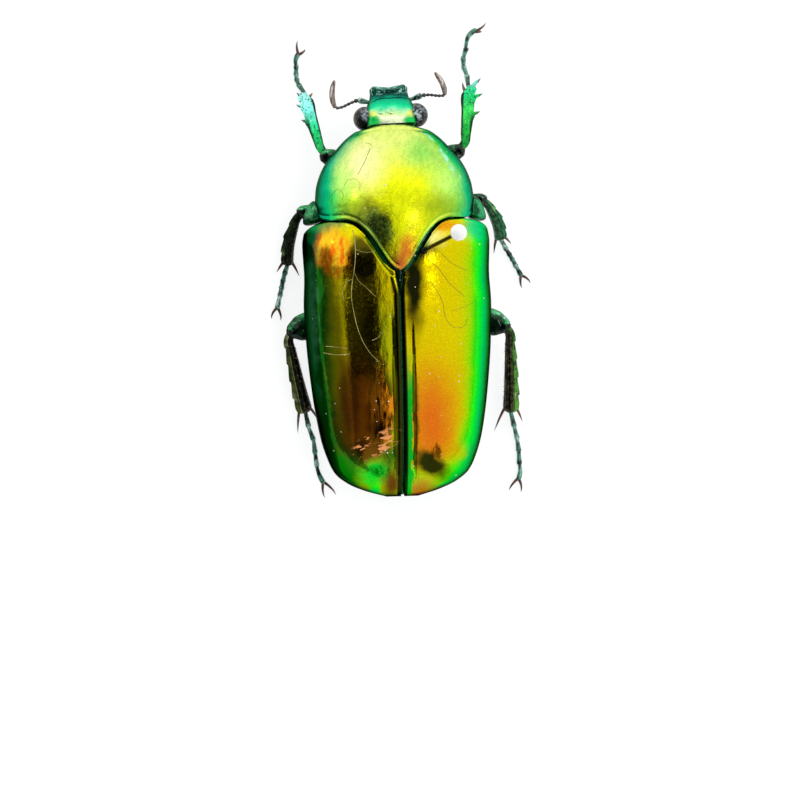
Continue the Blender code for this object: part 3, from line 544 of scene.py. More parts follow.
def make_piece(name, form, finishes, nodes, sharp=50.0, turned=False):
    """Turns a form into a piece that stands for the nodes."""
    points = np.vstack(form.points)
    if turned:
        points = turn_head(points)
    mesh = bpy.data.meshes.new(name)
    mesh.from_pydata((points * MM).tolist(), [], form.faces)
    made = bmesh.new()
    made.from_mesh(mesh)
    bmesh.ops.recalc_face_normals(made, faces=made.faces)
    made.to_mesh(mesh)
    made.free()
    mesh.shade_smooth()
    mesh.set_sharp_from_angle(angle=math.radians(sharp))
    for finish in finishes:
        mesh.materials.append(finish)
    mesh.polygons.foreach_set("material_index", form.looks)
    piece = new_object(name, mesh)
    piece.location = ORIGIN
    if nodes:
        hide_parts(*nodes)
    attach(piece, "root")


def turn_head(points):
    """Turns points of the straight head about the neck."""
    c, s = math.cos(HEAD_TURN), math.sin(HEAD_TURN)
    neck = np.array(NECK)
    return (np.asarray(points, float) - neck) @ np.array([[c, -s, 0], [s, c, 0], [0, 0, 1]]).T + neck


def seam_edge(y):
    """How far a wing case's inner edge lies from the middle: it opens to a V behind the pronotum's lobe."""
    return 0.13 + 0.24 * ease((y + 0.4) / 1.6)


def elytron_height(x, y, sunk=0.0):
    """The wing cases' height, or that of their inner face."""
    x = np.abs(x)
    margin = elytra_margin(y)
    back = np.clip((ELYTRA_TOP[0][0] - y) / 3.5, 0.0, 1.0)
    rise = elytra_top(y) - sunk - margin
    share = np.minimum(1.0, x / (elytra_half(y) - sunk))
    fall = FRONT_FALL * np.maximum(0.0, y - FRONT_FALL_FROM) ** 2
    z = margin + (rise - fall) * np.maximum(0.0, 1 - share ** (2.1 + 0.8 * back)) ** (1 / 2.1)
    if sunk:
        return z - RIM
    for sx, sy, radius, height in (SHOULDER_SWELLING, TIP_SWELLING):
        z = z + height * np.exp(-((x - sx) ** 2 + (y - sy) ** 2) / radius**2)
    # A groove runs beside the seam, deeper towards the rear.
    z = z - 0.13 * bump(x - 0.74, 0.1) * ease((-1.0 - y) / 6.0) * ease((y + 15.4) / 1.5)
    # The outer rim turns up in a narrow bead.
    beside = elytra_half(y) * (1 - share)
    return z + 0.05 * bump(beside - 0.05, 0.03) * ease((y + 14.5) / 2.0)


def elytron_sheet(side, sunk):
    across, along = grid(*ELYTRON_GRID)
    across = np.sin(0.5 * math.pi * across) ** 0.85
    along = np.sin(0.5 * math.pi * along)
    front = elytra_front(ELYTRA_FRONT[-1][0] * across) - PLATE_GAP - (RIM if sunk else 0.0)
    tip = ELYTRA_OUTLINE[-1][0] + 0.5 * sunk
    y = front + (tip - front) * along
    inner = seam_edge(y)
    x = inner + (elytra_half(y) - sunk - inner) * across
    z = elytron_height(x, y, sunk)
    if not sunk:
        z = z + 0.06 * bump(x - inner - 0.13, 0.1) + 0.05 * bump(front - y - 0.14, 0.11)
        z = z - 0.05 * bump(front - y - 0.36, 0.1)
    return np.stack([side * x, y, z], axis=2)


def make_elytron(side, name, finish):
    form = Form()
    form.plate(elytron_sheet(side, 0.0), elytron_sheet(side, SHELL))
    make_piece(f"wing_case_{name}", form, [finish], [f"elytron_{name}"], 55.0)


def pronotum_height(x, y, sunk=0.0):
    """The pronotum's height, or that of its inner face."""
    share = x / (pronotum_half(y) - sunk)
    margin = pronotum_margin(y)
    return margin + (pronotum_top(y) - sunk - margin) * dome(share, 2.15, 2.0)


def pronotum_sheet(sunk):
    across, along = grid(*PRONOTUM_GRID)
    across = np.sin(math.pi * (across - 0.5))
    along = 0.5 - 0.5 * np.cos(math.pi * along)
    rim = RIM if sunk else 0.0
    front = pronotum_front(PRONOTUM_FRONT[-1][0] * np.abs(across)) - 2 * rim
    hind = lobe_edge(LOBE_HALF * np.abs(across)) + 0.3 * PLATE_GAP + rim
    y = front + (hind - front) * along
    x = (pronotum_half(y) - sunk) * across
    z = pronotum_height(x, y, sunk) - rim
    if not sunk:
        # Beads with a groove beside them run along the hind and front margins and along the sides.
        z = z + 0.05 * bump(y - hind - 0.1, 0.09) - 0.04 * bump(y - hind - 0.32, 0.1)
        z = z + 0.04 * bump(front - y - 0.12, 0.1) - 0.03 * bump(front - y - 0.35, 0.12)
        beside = pronotum_half(y) * (1 - np.abs(across))
        z = z + 0.07 * bump(beside - 0.04, 0.025) - 0.03 * bump(beside - 0.13, 0.04)
    return np.stack([x, y, z], axis=2)


def make_pronotum(finish):
    form = Form()
    form.plate(pronotum_sheet(0.0), pronotum_sheet(SHELL))
    make_piece("pronotum_shield", form, [finish], ["pronotum"], 55.0)


def body_rings(y, half, top, middle, bottom, count=96, boxy=2.4):
    """Sections of the body: a boxy dome above the middle height and a rounder one below it."""
    turn = 2 * math.pi * np.arange(count) / count
    c, s = np.cos(turn), np.sin(turn)
    power = np.where(s > 0, 2 / boxy, 2 / min(boxy, 2.1))
    y, half, top, middle, bottom = (np.asarray(v, float)[:, None] for v in (y, half, top, middle, bottom))
    x = half * np.sign(c) * np.abs(c) ** power
    reach = np.where(s > 0, top - middle, middle - bottom)
    z = middle + reach * np.sign(s) * np.abs(s) ** power
    return np.stack([x, np.broadcast_to(y, x.shape), z], axis=2)


def trunk_rings(y, sunk=0.0):
    """Sections of the body under the wing cases."""
    clear = SHELL + 0.25 + 0.4 * np.clip((-12.0 - y) / 2.0, 0.0, 1.0)
    top = elytra_top(y) - clear - 0.25
    return body_rings(y, elytra_half(y) - clear - sunk, top, elytra_margin(y) - 0.2, belly(y) + sunk)


def make_thorax(finish):
    form = Form()
    rings = trunk_rings(np.linspace(4.95, -2.6, 70))
    under = 1 - np.clip((rings[..., 2] - 2.0) / 1.2, 0.0, 1.0)
    rings[..., 2] += 0.12 * bump(rings[..., 0], 0.12) * under
    neck = []
    for y, size in ((6.4, 0.72), (5.7, 0.84), (5.2, 0.94)):
        middle = rings[0].mean(axis=0)
        ring = middle + (rings[0] - middle) * size
        ring[:, 1] = y
        neck.append(ring)
    form.tube(np.concatenate([np.array(neck), rings]))
    form.sweep(
        [(0, 3.5, 3.2), (0, 5.2, 2.7), (0, 7.0, 2.45), (0, 8.2, 2.55), (0, 8.6, 2.7)],
        [(0.0, 1.0, 0.8), (0.3, 0.85, 0.5), (0.65, 0.7, 0.38), (0.9, 0.5, 0.3), (1.0, 0.4, 0.25)],
        (1, 0, 0), 32, 40, ends=(0.0, 0.12),
    )
    make_piece("hind_breast", form, [finish], ["thorax"])


def make_abdomen(finish):
    """Five belly plates, each overlapping the next."""
    form = Form()
    steps = ((0.0, 0.12), (0.05, 0.08), (0.15, 0.05), (0.4, 0.02), (0.86, 0.0), (0.95, 0.02), (0.985, 0.06))
    y, sunk = [SEGMENT_ENDS[0] + 0.5], [0.3]
    for front, back in zip(SEGMENT_ENDS, SEGMENT_ENDS[1:]):
        for share, depth in steps:
            y.append(front + (back - front) * share)
            sunk.append(depth)
    y.append(SEGMENT_ENDS[-1] - 0.1)
    sunk.append(0.12)
    y, sunk = np.array(y), np.array(sunk)
    form.tube(trunk_rings(y, sunk))
    make_piece("belly", form, [finish], ["abdomen"], 30.0)


def make_pygidium(finish):
    form = Form()
    y = np.array([SEGMENT_ENDS[-1] - 0.02, -13.4, -13.7, -14.0, -14.3, -14.5])
    sunk = np.array([0.06, 0.02, 0.0, 0.0, 0.02, 0.08])
    tail = body_rings([-14.65, -14.75], [3.0, 2.6], [5.3, 5.0], [4.85, 4.75], [4.45, 4.35])
    form.tube(np.concatenate([trunk_rings(y, sunk), tail]))
    # Its narrow tip reaches on under the seam's end.
    form.sweep(
        [(0, -14.2, 4.9), (0, -14.9, 4.9), (0, -15.42, 4.88)],
        [(0.0, 0.7, 0.25), (0.6, 0.5, 0.2), (1.0, 0.34, 0.12)], (1, 0, 0), 24, 24, ends=(0.0, 0.2),
    )
    make_piece("tail_plate", form, [finish], ["pygidium"], 40.0)


def make_prosternum(finish):
    form = Form()
    y = np.linspace(11.9, 5.3, 60)
    clear = SHELL + 0.2
    top = pronotum_top(y) - clear - 0.2
    rings = body_rings(y, pronotum_half(y) - clear, top, pronotum_margin(y) - 0.35, breast(y), boxy=2.2)
    form.tube(rings)
    make_piece("front_breast", form, [finish], ["prosternum"])


def make_shoulder_plates(finish):
    """The plates that stand out between the pronotum's hind corners and the wing cases."""
    middle = np.array(SHOULDER_PLATE_MIDDLE)
    outline = rounded_loop(SHOULDER_PLATE)
    levels = (
        (4.9, 0.55), (4.95, 0.85), (5.2, 0.97), (5.8, 1.0), (6.35, 1.0), (6.62, 0.97), (6.82, 0.9),
        (6.95, 0.78), (7.04, 0.6), (7.1, 0.4), (7.12, 0.2),
    )
    for side, name in SIDES:
        form = Form()
        rings = []
        for level, size in levels:
            ring = middle + (outline - middle) * size
            height = level - 0.28 * (ring[:, 0] - middle[0])
            rings.append(np.stack([side * ring[:, 0], ring[:, 1], height], axis=1))
        form.tube(rings)
        make_piece(f"shoulder_plate_{name}", form, [finish], [f"mesepimeron_{name}"], 60.0)


def make_scutellum(dark):
    """The tip of the scutellum, which shows as a narrow keel behind the lobe."""
    form = Form()
    form.sweep(
        [(0, 2.2, 10.25), (0, 1.3, 10.4), (0, 0.4, 10.35), (0, -0.4, 10.2)],
        [(0.0, 0.8, 0.1), (0.4, 0.22, 0.16), (0.7, 0.09, 0.14), (1.0, 0.02, 0.05)], (1, 0, 0), 20, 30,
    )
    make_piece("scutellum_tip", form, [dark], [])


def head_surface():
    """Sections of the head with its raised front rim, corner lobes, ridge and humps."""
    half = curve([(y, wide) for y, wide, _, _ in HEAD_SECTIONS])
    top = curve([(y, high) for y, _, high, _ in HEAD_SECTIONS])
    under = curve([(y, low) for y, _, _, low in HEAD_SECTIONS])
    end, closure = 15.4, 0.14
    rounding = end + closure * np.sin(np.linspace(0.1, 1.0, 12) * math.pi / 2)
    y = np.concatenate([np.linspace(12.12, end, 170), rounding])
    past = np.clip((y - end) / closure, 0, 1)
    middle = 0.5 * (top(y) + under(y)) + 0.2
    closing = 1 - 0.35 * past**3
    rings = body_rings(
        y, half(y) * (1 - 0.12 * past**2), middle + (top(y) - middle) * closing, middle,
        middle - (middle - under(y)) * closing, 190, 2.6,
    )
    x, y, z = rings[..., 0], rings[..., 1], rings[..., 2]
    aside = np.abs(x)
    upper = ease((z - 0.5 * (top(y) + under(y))) / 0.5)
    rim = np.maximum(bump(half(y) - aside - 0.1, 0.12), bump(y - 15.44, 0.09))
    z = z + upper * ease((y - 14.6) / 0.25) * (0.14 * rim - 0.12 * (1 - rim))
    # The clypeus ends in two round lobes, each with a hollow in its middle.
    from_lobe = np.hypot(aside - CLYPEUS_LOBE[0], 0.8 * (y - CLYPEUS_LOBE[1]))
    z = z + upper * (0.3 * bump(from_lobe, 0.3) - 0.2 * bump(from_lobe, 0.13))
    push = ease((y - 15.15) / 0.25)
    # A curved step parts the clypeus from the forehead, and an uneven ridge runs between the eyes.
    step = y - 14.78 + 0.1 * x**2 + 0.04 * np.sin(4.0 * x + 1.0)
    z = z - upper * 0.09 * bump(step, 0.07)
    ridge = y - 13.5 - 0.16 * aside + 0.07 * np.sin(5.0 * x) + 0.05 * np.sin(9.0 * x + 2.0)
    z = z + upper * (0.07 * bump(ridge, 0.1) - 0.06 * bump(ridge - 0.2, 0.08)) * ease((1.35 - aside) / 0.4)
    z = z + upper * 0.1 * bump(np.hypot(aside - 1.35, y - 13.42), 0.28)
    y = y + push * (0.2 * bump(aside - 1.12, 0.27) - 0.06 * bump(x, 0.7))
    x = x + np.sign(x) * 0.05 * push * ease((aside - 0.7) / 0.5)
    return np.stack([x, y, z], axis=2)


def make_head(finish, dark):
    form = Form()
    form.tube(head_surface())
    # A narrow bar runs from the forehead over the front of each eye.
    for side in (-1, 1):
        form.sweep(
            [(side * 1.5, 14.12, 5.9), (side * 1.85, 14.0, 5.9), (side * 2.2, 13.85, 5.75)],
            [(0.0, 0.14, 0.1), (0.6, 0.12, 0.08), (1.0, 0.05, 0.04)], (0, 1, 0), 14, 14, 1,
        )
    make_piece("head_capsule", form, [finish, dark], ["head"], 45.0, True)


def make_eyes(finish):
    for side, name in SIDES:
        form = Form()
        x, y, z = EYE
        form.ball((side * x, y, z), EYE_RADII, 120, 80)
        make_piece(f"compound_eye_{name}", form, [finish], [f"eye_{name}"], 60.0, True)


def make_mouthparts(finish):
    form = Form()
    form.sweep(
        [(0, 12.6, 3.5), (0, 13.4, 3.15), (0, 14.3, 3.15), (0, 14.9, 3.5)],
        [(0.0, 0.7, 0.2), (0.3, 1.0, 0.28), (0.75, 1.05, 0.28), (1.0, 0.8, 0.2)], (1, 0, 0), 40, 40,
    )
    joints = ((0.6, 13.9, 3.15), (1.0, 14.5, 3.1), (1.1, 15.0, 3.2), (0.95, 15.4, 3.4))
    for side in (-1, 1):
        path = [(side * x, y, z) for x, y, z in joints]
        for a, b, size in zip(path, path[1:], (0.22, 0.22, 0.19)):
            sizes = [(0.0, size * 0.7), (0.7, size), (1.0, size * 0.7)]
            form.joint(a, b, 0.1, sizes, rings=16, ends=(0.1, 0.2))
    make_piece("mouth", form, [finish], ["mouthparts"], 50.0, True)


def make_feeler(name, stem, club_root, scape_finish, dark):
    """A thick first joint and a string of small beads."""
    form = Form()
    sizes = [(0.0, 0.14, 0.13), (0.35, 0.17, 0.16), (0.75, 0.29, 0.25), (1.0, 0.22, 0.2)]
    form.joint(stem[0], stem[1], 0.15, sizes, sides=24, rings=24, ends=(0.0, 0.14))
    joints = smooth_path(stem[1:] + [between(stem[-1], club_root, 0.9)], np.linspace(0, 1, 7))
    for i, (a, b) in enumerate(zip(joints, joints[1:])):
        size = 0.17 if i == 0 else 0.125
        sizes = [(0.0, size * 0.5), (0.65, size), (1.0, size * 0.7)]
        form.joint(a, b, 0.14, sizes, sides=16, rings=14, look=1, ends=(0.1, 0.2))
    make_piece(f"feeler_{name}", form, [scape_finish, dark], [f"antenna_{name}"])


def make_club(name, club, finish):
    """Three leaves that lie side by side."""
    form = Form()
    aside = (Vector(club[-1]) - Vector(club[0])).cross(UP).normalized()
    for shift, lift, size in ((-0.085, -0.12, 0.92), (0.0, 0.1, 1.0), (0.09, -0.05, 0.95)):
        path = []
        for i, point in enumerate(club):
            spread = 0.4 if i in (0, len(club) - 1) else 1.0
            path.append(Vector(point) + aside * shift * spread + UP * lift)
        sizes = [(0.0, 0.1, 0.07), (0.2, 0.13, 0.09), (0.7, 0.125, 0.08), (1.0, 0.1, 0.06)]
        sizes = [(share, wide * size, thick) for share, wide, thick in sizes]
        form.sweep(path, sizes, aside, 20, 40, ends=(0.05, 0.16))
    make_piece(f"feeler_club_{name}", form, [finish], [f"antennal_club_{name}"])


def make_antennae(scape_finish, dark, club_finish):
    for name, antenna in ANTENNAE.items():
        stem = [(*place, height) for place, height in zip(antenna["stem"], STEM_HEIGHTS)]
        club = [(*place, CLUB_HEIGHT) for place in antenna["club"]]
        make_feeler(name, stem, club[0], scape_finish, dark)
        make_club(name, club, club_finish)


def make_femur(name, leg, kind, finish):
    """The hip and the thigh, which narrows to a small knee at its hind corner."""
    form = Form()
    hip, knee = Vector(leg["hip"]), Vector(leg["knee"])
    form.ball(hip, kind["hip"], 48, 32)
    along = (knee - hip).normalized()
    half, knob = kind["femur"], kind["knee"]
    start = hip + along * kind["hip"][0] * 0.75
    end = knee + along * knob * 0.9 + Vector((0, kind["knee_back"], 0))
    middle = between(start, end, 0.6) - Vector((0, 0.35 * kind["knee_back"], 0))
    sizes = [
        (0.0, 0.35 * half, 0.28), (0.12, 0.7 * half, 0.42), (0.35, half, 0.55), (0.62, 1.04 * half, 0.54),
        (0.78, 0.94 * half, 0.5), (0.88, 0.5 * (0.8 * half + knob), 0.46), (0.95, 0.86 * knob, knob * 0.7),
        (1.0, 0.7 * knob, knob * 0.6),
    ]
    form.sweep([start, middle, end], sizes, (0, 1, 0), 48, 90, ends=(0.0, 0.06))
    # A rounded flap covers the knee joint from above.
    tip = end + UP * 0.12
    form.sweep(
        [between(start, tip, 0.8), between(start, tip, 0.93), tip + along * 0.05],
        [(0.0, 0.5 * knob, 0.3), (0.6, 0.72 * knob, 0.42), (1.0, 0.5 * knob, 0.3)], (0, 1, 0), 32, 30,
        ends=(0.2, 0.25),
    )
    make_piece(f"{name}_thigh", form, [finish], [f"{name}_coxa", f"{name}_femur"])


def shin_section(steps, bulges):
    """A shin's outline: a keel along its outer edge, stepped or bulging at the teeth, and a groove inside."""

    def section(share, turn):
        turn = turn - 2 * math.pi * np.round(turn / (2 * math.pi))
        across = np.cos(turn) + 0.14 * bump(turn, 0.35)
        if steps:
            saw = (share * (steps + 1)) % 1.0
            grown = ease(saw / 0.9) * (1 - ease((saw - 0.94) / 0.06))
            across = across + 0.2 * grown * bump(turn, 0.4) * ease((0.95 - share) / 0.1)
        inner = np.abs(turn) > 0.49 * math.pi
        if bulges:
            # The fore shin's outer edge is scalloped between its teeth, and its inner end slants off.
            for place in bulges:
                across = across + 0.26 * bump(share - place, 0.045) * bump(turn, 0.5)
            slant = 0.22 * bump(share - 0.78, 0.12) - 1.1 * ease((share - 0.84) / 0.16)
            across = across * (1 + slant * inner)
        ridges = 0.06 * np.cos(9.0 * turn) * (np.sin(turn) > 0)
        groove = 1 - 0.16 * bump(np.abs(turn) - 1.15, 0.2) + ridges
        return across, np.sin(turn) * groove * (1 - 0.2 * np.cos(turn))

    return section


def make_tibia(name, leg, kind, keel, face, spur, rng):
    """The shin with its keel, outer teeth, end spurs and bristles."""
    form = Form()
    knee = Vector(leg["knee"])
    start, end = Vector(leg["shin"]), Vector(leg["ankle"])
    along = (end - start).normalized()
    outward = Vector((math.copysign(1.0, start.x), 0, 0.2))
    outward = (outward - along * along.dot(outward)).normalized()

    def at(share):
        return between(start, end, share) + outward * kind["bow"] * math.sin(math.pi * share)

    first, middle, last = kind["tibia"]
    thick = kind["thick"]
    # Each tooth as the share of the shin where it stands and its tip.
    teeth = [(share, at(share) + outward * out + along * on) for share, out, on in kind["teeth"]]
    for tip in leg.get("teeth", []):
        tip = Vector(tip)
        reached = (tip - start).dot(along) / (end - start).length
        teeth.append((min(0.95, reached - 0.13), tip))
    bulges = [0.15 + 0.83 * share for share, _ in teeth] if "teeth" in leg else []
    path = [between(start, knee, 0.75), at(0.0), at(0.15), at(0.4), at(0.7), at(0.92), at(1.03)]
    sizes = [
        (0.0, first * 0.95, 0.25), (0.15, first, 0.26), (0.3, first * 1.15, 0.28), (0.5, middle, 0.3),
        (0.75, 0.5 * (middle + last), thick), (0.93, last, thick), (1.0, last * 0.8, thick * 0.75),
    ]
    sides = 64
    looks = [int(math.cos(2 * math.pi * (k + 0.5) / sides) <= kind["keel_from"]) for k in range(sides)]
    form.sweep(path, sizes, outward, sides, 130, looks, shin_section(kind["steps"], bulges), (0.05, 0.05))
    for share, tip in teeth:
        foot = at(share) + outward * middle * 0.4 - along * 0.1
        form.cone(foot, tip, kind["tooth"], 0, 18, 14, along * 0.05 - outward * 0.07)
        # Its point is worn brown.
        form.cone(between(foot, tip, 0.66), tip, kind["tooth"] * 0.42, 2, 12, 8, -outward * 0.02)
    for tip in leg["spurs"]:
        aside = math.copysign(last * 0.6, (Vector(tip) - end).dot(outward))
        form.cone(at(0.93) + outward * aside, tip, SPUR_RADIUS, 2, 14, 14, outward * aside * 0.12)
    # Short bristles along the inner side and around the end.
    for i in range(BRISTLES):
        share = 0.12 + 0.84 * i / BRISTLES
        size = first + (last - first) * share
        foot = at(share) - outward * size * rng.uniform(0.8, 0.95) + UP * rng.uniform(-0.12, 0.12)
        tip = foot - outward * rng.uniform(0.08, 0.16) + along * rng.uniform(0.15, 0.25)
        if share < 0.8 or not bulges:
            form.cone(foot, tip, BRISTLE_RADIUS, 2, 5, 4)
    for i in range(END_BRISTLES):
        turn = math.pi * i / (END_BRISTLES - 1)
        foot = at(0.97) + outward * last * 0.7 * math.cos(turn)
        if i < END_BRISTLES / 2 or not bulges:
            tip = foot + along * 0.24 + outward * 0.08 * math.cos(turn)
            form.cone(foot, tip, END_BRISTLE_RADIUS, 2, 5, 4)
    make_piece(f"{name}_shin", form, [keel, face, spur], [f"{name}_tibia"])


def make_foot(name, leg, kind, finish, claw_finish):
    """Five tarsal segments, each flared at its end, and two curved claws."""
    form = Form()
    ankle = Vector(leg["ankle"])
    toes = [Vector((*place, height)) for place, height in zip(leg["toes"], kind["toe_heights"])]
    ends = [ankle - (toes[0] - ankle).normalized() * 0.15] + toes
    for i, (a, b) in enumerate(zip(ends, ends[1:])):
        last = i == len(ends) - 2
        sizes = ((0.0, 0.56), (0.25, 0.64), (0.6, 0.74), (0.88, 0.88), (1.0, 0.78))
        if last:
            sizes = ((0.0, 0.5), (0.3, 0.62), (0.75, 0.82), (1.0, 0.7))
        sizes = [(share, TOE_RADIUS * size) for share, size in sizes]
        bow = Vector(leg["toe_bow"]) if last else Vector((0, 0, 0))
        path = [between(a, b, -0.1), between(a, b, 0.5) + bow, between(a, b, 1.05)]
        form.sweep(path, sizes, (0.1, 0, 1), 24, 30, ends=(0.1, 0.12))
        if not last:
            across = (b - a).cross(UP).normalized()
            for side in (-1, 1):
                foot = between(a, b, 0.9) + across * side * TOE_RADIUS * 0.5 - UP * 0.06
                tip = foot + (b - a).normalized() * 0.22 + across * side * 0.05
                form.cone(foot, tip, END_BRISTLE_RADIUS, 1, 6, 5)
    root = between(ends[-1], ends[-2], 0.12)
    across = (ends[-1] - ends[-2]).cross(UP).normalized()
    arch = UP * 0.16
    for claw in leg["claws"]:
        claw = Vector(claw)
        lean = across * 0.1 * math.copysign(1.0, (claw - ends[-1]).dot(across))
        high, low = lean + arch, lean * 0.8 + arch * 0.6
        path = [root, between(root, claw, 0.4) + high, between(root, claw, 0.8) + low, claw]
        sizes = [(0.0, CLAW_RADIUS), (0.35, CLAW_RADIUS * 0.8), (0.75, CLAW_RADIUS * 0.45), (1.0, 0.015)]
        form.sweep(path, sizes, (0, 0, 1), 14, 24, 1)
    # The feet stand on the floor, not in it.
    form.points = [np.maximum(points, (-np.inf, -np.inf, FLOOR)) for points in form.points]
    make_piece(f"{name}_foot", form, [finish, claw_finish], [f"{name}_tarsus"])


def make_pin(enamel, white):
    along = (PIN_HEAD - PIN_ENTRY).normalized()
    side = Vector((0, 1, 0)).cross(along).normalized()
    over = along.cross(side)

    def ring(away, radius):
        turn = 2 * math.pi * np.arange(PIN_SIDES)[:, None] / PIN_SIDES
        around = np.cos(turn) * np.array(side) + np.sin(turn) * np.array(over)
        return np.array(PIN_ENTRY + along * away) + radius * around

    form = Form()
    form.tube([ring(away, PIN_WIRE_RADIUS) for away in np.linspace(*PIN_SHOWN, 30)])
    # The torn rim of the hole that the pin goes through, black as painted shade of the hole.
    collar = ((-0.5, 0.3), (-0.32, 0.29), (-0.22, 0.27), (-0.16, 0.23), (-0.17, 0.19))
    form.tube([ring(away, radius) for away, radius in collar])
    make_piece("pin_wire", form, [enamel], ["pin_shaft"])
    form = Form()
    form.ball(PIN_HEAD, [PIN_HEAD_RADIUS] * 3, 72, 54)
    reach = (PIN_HEAD - PIN_ENTRY).length
    neck = ((0.4, 0.3), (0.56, 0.27), (0.66, 0.24), (0.72, 0.2), (0.74, 0.17))
    form.tube([ring(reach - away, radius) for away, radius in neck])
    make_piece("pin_ball", form, [white], ["pin_head"])
    form = Form()
    heights = (2.8, 2.0, 1.4, 1.0, 0.7, PIN_TIP_Z)
    shares = (1.0, 1.0, 1.0, 0.85, 0.5, 0.06)
    form.tube([
        ring((z - PIN_ENTRY.z) / along.z, PIN_WIRE_RADIUS * share) for z, share in zip(heights, shares)
    ])
    make_piece("pin_tip", form, [enamel], ["pin_point"])


def make_fibres(lines, height, name, finish):
    """Thin fibres or scratches that lie on a surface."""
    form = Form()
    for radius, path in lines:
        line = smooth_path([(x, y, 0.0) for x, y in path], np.linspace(0, 1, 40))
        line[:, 2] = height(line[:, 0], line[:, 1]) + radius * 0.6
        form.sweep(line, [(0.0, radius), (1.0, radius * 0.7)], (0.03, 0.05, 1), 6, 60)
    make_piece(name, form, [finish], [])


def make_specks(finish, rng):
    """Specks of dust on the wing cases and the pronotum."""
    form = Form()
    for i in range(SPECKS):
        if i % 4:
            y = rng.uniform(-14.2, 4.6)
            x = rng.uniform(0.5, float(elytra_half(y)) - 0.5) * rng.choice((-1, 1))
            z = float(elytron_height(x, y))
        else:
            y = rng.uniform(5.8, 11.5)
            x = rng.uniform(-1, 1) * (float(pronotum_half(y)) - 0.5)
            z = float(pronotum_height(x, y))
        size = rng.uniform(*SPECK_RADII)
        form.ball((x, y, z + 0.02), (size, size * rng.uniform(0.6, 1.4), 0.035), 8, 6)
    make_piece("dust_specks", form, [finish], [])


def tone(red, green, blue):
    """A screen colour as the renderer's own, with full opacity."""
    values = [value / 255 for value in (red, green, blue)]
    return (*(v / 12.92 if v <= 0.04045 else ((v + 0.055) / 1.055) ** 2.4 for v in values), 1.0)


class Nodes:
    """Builds a node tree. Each value is a plain number or colour, or another node's output."""

    def __init__(self, tree):
        self.tree = tree

    def plug(self, target, value):
        if isinstance(value, bpy.types.NodeSocket):
            self.tree.links.new(value, target)
        else:
            target.default_value = value

    def node(self, kind, inputs, output=0, **settings):
        """Adds a node, plugs its inputs by number or name, and gives one of its outputs."""
        node = self.tree.nodes.new(f"ShaderNode{kind}")
        for name, value in settings.items():
            setattr(node, name, value)
        for name, value in inputs.items():
            self.plug(node.inputs[name], value)
        return node.outputs[output]

    def math(self, operation, *values):
        return self.node("Math", dict(enumerate(values)), operation=operation)

    def times(self, product, *values):
        for value in values:
            product = self.math("MULTIPLY", product, value)
        return product

    def range(self, value, low, high, to_low=0.0, to_high=1.0, smooth=True):
        values = dict(enumerate((value, low, high, to_low, to_high)))
        return self.node("MapRange", values, interpolation_type="SMOOTHSTEP" if smooth else "LINEAR")

    def split(self, vector):
        return dict(zip("xyz", self.node("SeparateXYZ", {0: vector}).node.outputs))


